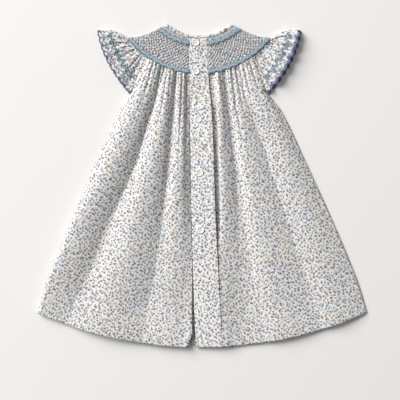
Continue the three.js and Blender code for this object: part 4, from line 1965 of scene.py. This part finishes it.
SLEEVE_HANGS = {
    Side.LEFT: SleeveHang(
        creases=(
            Crease(0.09, 0.030, 0.90, 2.6),
            Crease(0.20, 0.034, 1.00, 3.6),
            Crease(0.33, 0.022, 0.45, 2.0),
            Crease(0.44, 0.036, 0.95, 3.8),
            Crease(0.60, 0.024, 0.60, 2.2),
            Crease(0.74, 0.030, 0.90, 3.0),
            Crease(0.88, 0.020, 0.45, 1.6),
        ),
        flute_height=1.8,
        edging_from=-0.3,
        edging_to=2.4,
        under_beyond=0.0,
    ),
    Side.RIGHT: SleeveHang(
        creases=(
            Crease(0.07, 0.028, 1.00, 4.2),
            Crease(0.18, 0.026, 0.90, 4.0),
            Crease(0.30, 0.026, 0.75, 3.4),
            Crease(0.45, 0.024, 0.60, 2.8),
            Crease(0.60, 0.022, 0.70, 2.8),
            Crease(0.76, 0.022, 0.50, 2.4),
            Crease(0.88, 0.018, 0.40, 1.6),
        ),
        flute_height=6.9,
        edging_from=-2.2,
        edging_to=1.7,
        under_beyond=2.2,
    ),
}


@dataclass
class Sleeve:
    """A flutter sleeve: one sheet folded at the shoulder, with its edging and its stitched wave."""

    side: Side
    finishes: Finishes
    belly: Pair = (-145.0, 184.5)
    tip: Pair = (-151.8, 229.6)
    shoulder_bow: float = 4.5
    flutes: float = 5.5
    stand_off: float = 0.1
    start_height: float = 4.9
    loft: float = 6.6
    fine_pleats: float = 13.0
    fine_depth: float = 0.35
    turn_out: float = 2.2
    scallops: int = 9
    scallop_depth: float = 3.0
    across: int = 150
    rows: int = 56
    turns: int = 9
    wave_at: float = 0.7
    wave: float = 0.06
    pale_rows: tuple[Pair, ...] = ((-0.04, 1.1), (0.045, 1.1))
    dark_rows: tuple[Pair, ...] = ((0.005, 0.8),)
    hem_row_at: float = 0.9
    hem_row_wave: float = 0.045
    hem_row_width: float = 1.3
    satin_pitch: float = 0.62
    satin_width: float = 1.05
    stitch: CableStitch = CableStitch(pitch=1.5, reach=1.2, lean=0.3, lift=0.3, arch=0.4)
    cut: Pair = (0.16, 0.062)
    cut_area: float = 0.0078

    @property
    def hang(self) -> SleeveHang:
        """How this sleeve lies."""
        return SLEEVE_HANGS[self.side]

    def plan(self, q: Array, t: Array) -> Array:
        """The left sleeve from above.

        Args:
            q: 0 at the raglan seam and 1 at the shoulder fold.
            t: 0 at the yoke and 1 at the free edge.

        Returns:
            The plan points.
        """
        away = np.array([PLAN.seam_gap + self.stand_off, 0.0])
        radius = PLAN.yoke_radius + PLAN.seam_gap
        belly, tip = np.array(self.belly), np.array(self.tip)

        def seam(a: Array) -> Array:
            """The raglan seam."""
            return PLAN.skirt_side(Side.LEFT, np.asarray(a) * PLAN.raglan_share) - away

        end_angle = -float(PLAN.shoulder_at(PLAN.yoke_radius))
        end = PLAN.yoke_arc(radius, end_angle)
        start_angle = float(PLAN.angle_about(PLAN.centre, seam(np.array(0.0))))
        underarm = seam(np.array(1.0))

        def free(a: Array) -> Array:
            """The free edge, a curve from the underarm to the tip."""
            a = np.asarray(a)[..., None]
            return lerp(lerp(underarm, belly, a), lerp(belly, tip, a), a)

        def fold(a: Array) -> Array:
            """The fold along the shoulder.

            Args:
                a: 0 at the yoke and 1 at the tip.

            Returns:
                The plan point at each a.
            """
            line = lerp(end, tip, np.asarray(a)[..., None])
            line[..., 1] += self.shoulder_bow * np.sin(math.pi * np.asarray(a))
            return line

        def yoke(a: Array) -> Array:
            """The seam with the yoke."""
            return PLAN.yoke_arc(radius, lerp(start_angle, end_angle, a))

        return coons(q, t, yoke, free, seam, fold)

    def height(self, q: Array, t: Array) -> Array:
        """The upper layer's outer face: flutes that grow towards the free edge.

        Args:
            q: 0 at the raglan seam and 1 at the shoulder fold.
            t: 0 at the yoke and 1 at the free edge.

        Returns:
            Z at each point.
        """
        opened = smoothstep(q, 0, 0.25)
        closed = 1 - 0.45 * smoothstep(q, 0.85, 1)
        loft = self.loft * t**1.2 * lerp(0.25, 1, opened) * closed
        ends = smoothstep(q, 0, 0.1) * (1 - smoothstep(q, 0.94, 1))
        uneven = q + 0.022 * np.sin(7.0 * q + 1.0)
        depth = 0.72 + 0.28 * np.sin(2 * math.pi * 1.9 * q + 0.6)
        flute = np.sin(2 * math.pi * self.flutes * uneven) * ends * depth
        grown = (0.35 + 0.65 * t) * (0.45 + 0.55 * t) * (1 - 0.5 * t * t)
        pleats = np.sin(2 * math.pi * (self.fine_pleats * q + 0.4 * np.sin(9 * q)))
        fine = self.fine_depth * pleats * ends * (1 - t) ** 0.7
        fine = fine - sum(crease.dip(q, t) for crease in self.hang.creases)
        return self.start_height + loft + self.hang.flute_height * grown * flute + fine

    def outward_at(self, q: Array) -> Array:
        """The plan direction out of the free edge.

        Args:
            q: 0 at the raglan seam and 1 at the shoulder fold.

        Returns:
            A direction at each q.
        """
        step, one = 0.01, np.ones_like(q)
        edge = self.plan(np.minimum(q + step, 1), one) - self.plan(np.maximum(q - step, 0), one)
        return unit(np.stack([-edge[..., 1], edge[..., 0]], -1))

    def point(self, q: Array, turn: Array, t: Array, depth: float, beyond: Any = 0.0) -> Array:
        """Points of the sleeve's faces.

        Args:
            q: 0 at the raglan seam and 1 at the shoulder fold.
            turn: 0 on the upper layer and 1 on the layer that lies on the surface.
            t: 0 at the yoke and 1 at the free edge.
            depth: 0 on the outer face, more inside it.
            beyond: how far outside the free edge.

        Returns:
            The points, mirrored for the right sleeve.
        """
        plan = self.plan(q, t)
        lobes = self.scallop_depth * np.abs(np.sin(math.pi * (self.scallops * q + 0.5 * turn)))
        beyond = beyond + self.hang.under_beyond * smoothstep(turn, 0.5, 1)
        out = self.outward_at(q) * ((lobes + beyond) * smoothstep(t, 0.86, 1))[..., None]
        plan = plan + out
        top = self.height(q, t)
        reach = (self.turn_out - depth) * np.sin(math.pi * turn)
        x, y = plan[..., 0] - 0.2 * reach, plan[..., 1] + reach
        if self.side is Side.RIGHT:
            x = 2 * PLAN.centre[0] - x
        return np.stack([x, y, top / 2 + (top / 2 - depth) * np.cos(math.pi * turn)], -1)

    def stops(self) -> tuple[Array, Array]:
        """The stops round the sleeve, over the upper layer and back under it.

        Returns:
            Each stop's q and turn.
        """
        upper = steps(self.across)
        turns = steps(self.turns + 1)[1:-1]
        q = np.concatenate([upper, np.ones(self.turns), upper[::-1]])
        return q, np.concatenate([np.zeros(self.across + 1), turns, np.ones(self.across + 1)])

    def face(self, depth: float) -> Array:
        """One whole face of the sleeve.

        Args:
            depth: 0 for the outer face, more inside it.

        Returns:
            The points, a row for each stop.
        """
        q, turn = self.stops()
        q, turn, t = np.broadcast_arrays(q[:, None], turn[:, None], steps(self.rows)[None, :])
        return self.point(q, turn, t, depth)

    def dress(self) -> None:
        """Makes the sleeve, its edging and its wave, and puts them in the frame."""
        outer, inner = self.face(0.0), self.face(HEIGHTS.cloth)
        name = f"sleeve_{self.side.word}_cloth"
        piece = panel(name, self.finishes.lawn, outer, inner, outer[..., :2])
        stands_for(piece, Slot.PRINTED, f"sleeve_{self.side.word}")
        edge = self.edge()
        wave = self.wave_stitches(outer)

    def edge(self) -> bpy.types.Object:
        """The scalloped edging: close satin stitches over the free edge of both layers.

        Returns:
            The new piece.
        """
        q, turn = self.stops()
        one = np.ones_like(q)
        near = self.point(q, turn, one, 0.5, self.hang.edging_from)
        far = self.point(q, turn, one, 0.5, self.hang.edging_to)
        places = spaced((near + far) / 2, self.satin_pitch)
        start, end = at_places(near, places), at_places(far, places)
        along_edge = unit(np.gradient((start + end) / 2, axis=0))
        up = np.cross(along_edge, unit(end - start))
        up *= np.sign(up[:, 2:3] + 1e-9)
        pile = Pile()
        Needle().stitches(pile, start, end, up, self.satin_width, 0.25)
        piece = pile.make(f"sleeve_edge_{self.side.word}_stitches", self.finishes.indigo)
        stands_for(piece, Slot.INDIGO, f"sleeve_edge_{self.side.word}")
        return piece

    def wave_stitches(self, outer: Array) -> bpy.types.Object:
        """The stitched wave on the upper layer: a dark row between two pale ones, and a pale hem row.

        Args:
            outer: the sleeve's outer face.

        Returns:
            The piece that holds the pale rows.
        """
        pale, dark = Pile(), Pile()
        face = outer[: self.across + 1]
        up = normals(face)
        stop = np.linspace(0.07, 0.96, 500) * self.across
        round_it = math.pi * self.scallops * stop / self.across
        for pile, rows in ((pale, self.pale_rows), (dark, self.dark_rows)):
            for share, width in rows:
                row = (self.wave_at + share + self.wave * np.cos(2 * round_it)) * self.rows
                self.stitch.sew(pile, onto(face, stop, row), onto(up, stop, row), width)
        row = (self.hem_row_at + self.hem_row_wave * np.abs(np.sin(round_it))) * self.rows
        line = onto(face, stop, row)
        places = spaced(line, self.stitch.pitch)
        points, off = at_places(line, places), unit(at_places(onto(up, stop, row), places))
        points = points + off * self.stitch.lift
        Needle().stitches(pale, points[:-1], points[1:], off[:-1], self.hem_row_width, 0.3)
        middle = dark.make(f"sleeve_wave_{self.side.word}_middle", self.finishes.teal)
        stands_for(middle, Slot.TEAL)
        piece = pale.make(f"sleeve_wave_{self.side.word}_stitches", self.finishes.sky)
        stands_for(piece, Slot.TEAL, f"sleeve_wave_{self.side.word}")
        return piece


@dataclass
class Studio:
    """The plain floor, the lights and the camera, in metres."""

    view_width: float = 0.6
    aim: Pair = (-0.0033, -0.0217)
    lens: float = 85.0
    sensor: float = 36.0
    floor_half: float = 4.0
    floor_drop: float = 0.0003
    floor_warm: Colour = (0.85, 0.835, 0.822)
    floor_grey: Colour = (0.82, 0.808, 0.795)
    key_place: tuple[float, float, float] = (-4.65, 3.48, 3.8)
    key_size: float = 5.0
    key_power: float = 800.0
    key_colour: Colour = (1.0, 0.985, 0.96)
    fill_colour: Colour = (0.97, 0.985, 1.0)
    fill_strength: float = 0.25

    def floor(self) -> None:
        """A wide pale floor under the dress."""
        shader = Shader("pale_floor")
        place = shader.out(shader.node("ShaderNodeTexCoord", {}, {}), "Object")
        soft = shader.noise(place, 3.0)
        colour = shader.mix(soft * 0.5, self.floor_warm, self.floor_grey)
        shader.set(Base_Color=colour, Roughness=0.9)
        mesh = bpy.data.meshes.new("floor")
        half, level = self.floor_half, -self.floor_drop
        corners = [(x * half, y * half, level) for x, y in ((-1, -1), (1, -1), (1, 1), (-1, 1))]
        mesh.from_pydata(corners, [], [(0, 1, 2, 3)])
        mesh.materials.append(shader.material)
        floor = bpy.data.objects.new("floor", mesh)
        bpy.context.collection.objects.link(floor)

    def lights(self) -> None:
        """A soft key lamp from the upper left, which faces the dress, and an even fill."""
        data = bpy.data.lights.new("key", "AREA")
        data.shape = "SQUARE"
        data.size = self.key_size
        data.energy = self.key_power
        data.color = self.key_colour
        lamp = bpy.data.objects.new("key", data)
        lamp.location = self.key_place
        lamp.rotation_euler = (-Vector(self.key_place)).to_track_quat("-Z", "Y").to_euler()
        bpy.context.collection.objects.link(lamp)
        world = bpy.data.worlds.new("fill")
        world.use_nodes = True
        background = world.node_tree.nodes["Background"]
        background.inputs["Color"].default_value = (*self.fill_colour, 1.0)
        background.inputs["Strength"].default_value = self.fill_strength
        bpy.context.scene.world = world

    def camera(self) -> None:
        """A camera straight above, as the picture was taken."""
        data = bpy.data.cameras.new("camera")
        data.lens = self.lens
        data.sensor_width = self.sensor
        camera = bpy.data.objects.new("camera", data)
        camera.location = (*self.aim, self.view_width * self.lens / self.sensor)
        bpy.context.collection.objects.link(camera)
        bpy.context.scene.camera = camera

    def build(self) -> None:
        """Sets up the studio."""
        bpy.context.scene.view_settings.view_transform = "Standard"
        self.floor()
        self.lights()
        self.camera()


def main() -> None:
    """Builds the studio and the dress, piece by piece."""
    logging.basicConfig(level=logging.INFO, format="%(name)s: %(message)s")
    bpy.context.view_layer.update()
    Studio().build()
    finishes = Finishes.make()
    BackSkirt(finishes).dress()
    BackYoke(finishes).dress()
    for side in Side:
        FrontSkirt(side, finishes).dress()
        FrontYoke(side, finishes).dress()
        Sleeve(side, finishes).dress()
    for band in neck_bands(finishes):
        band.dress()
    Placket(finishes).dress()
    Buttons().dress(finishes)


if __name__ == "__main__":
    main()
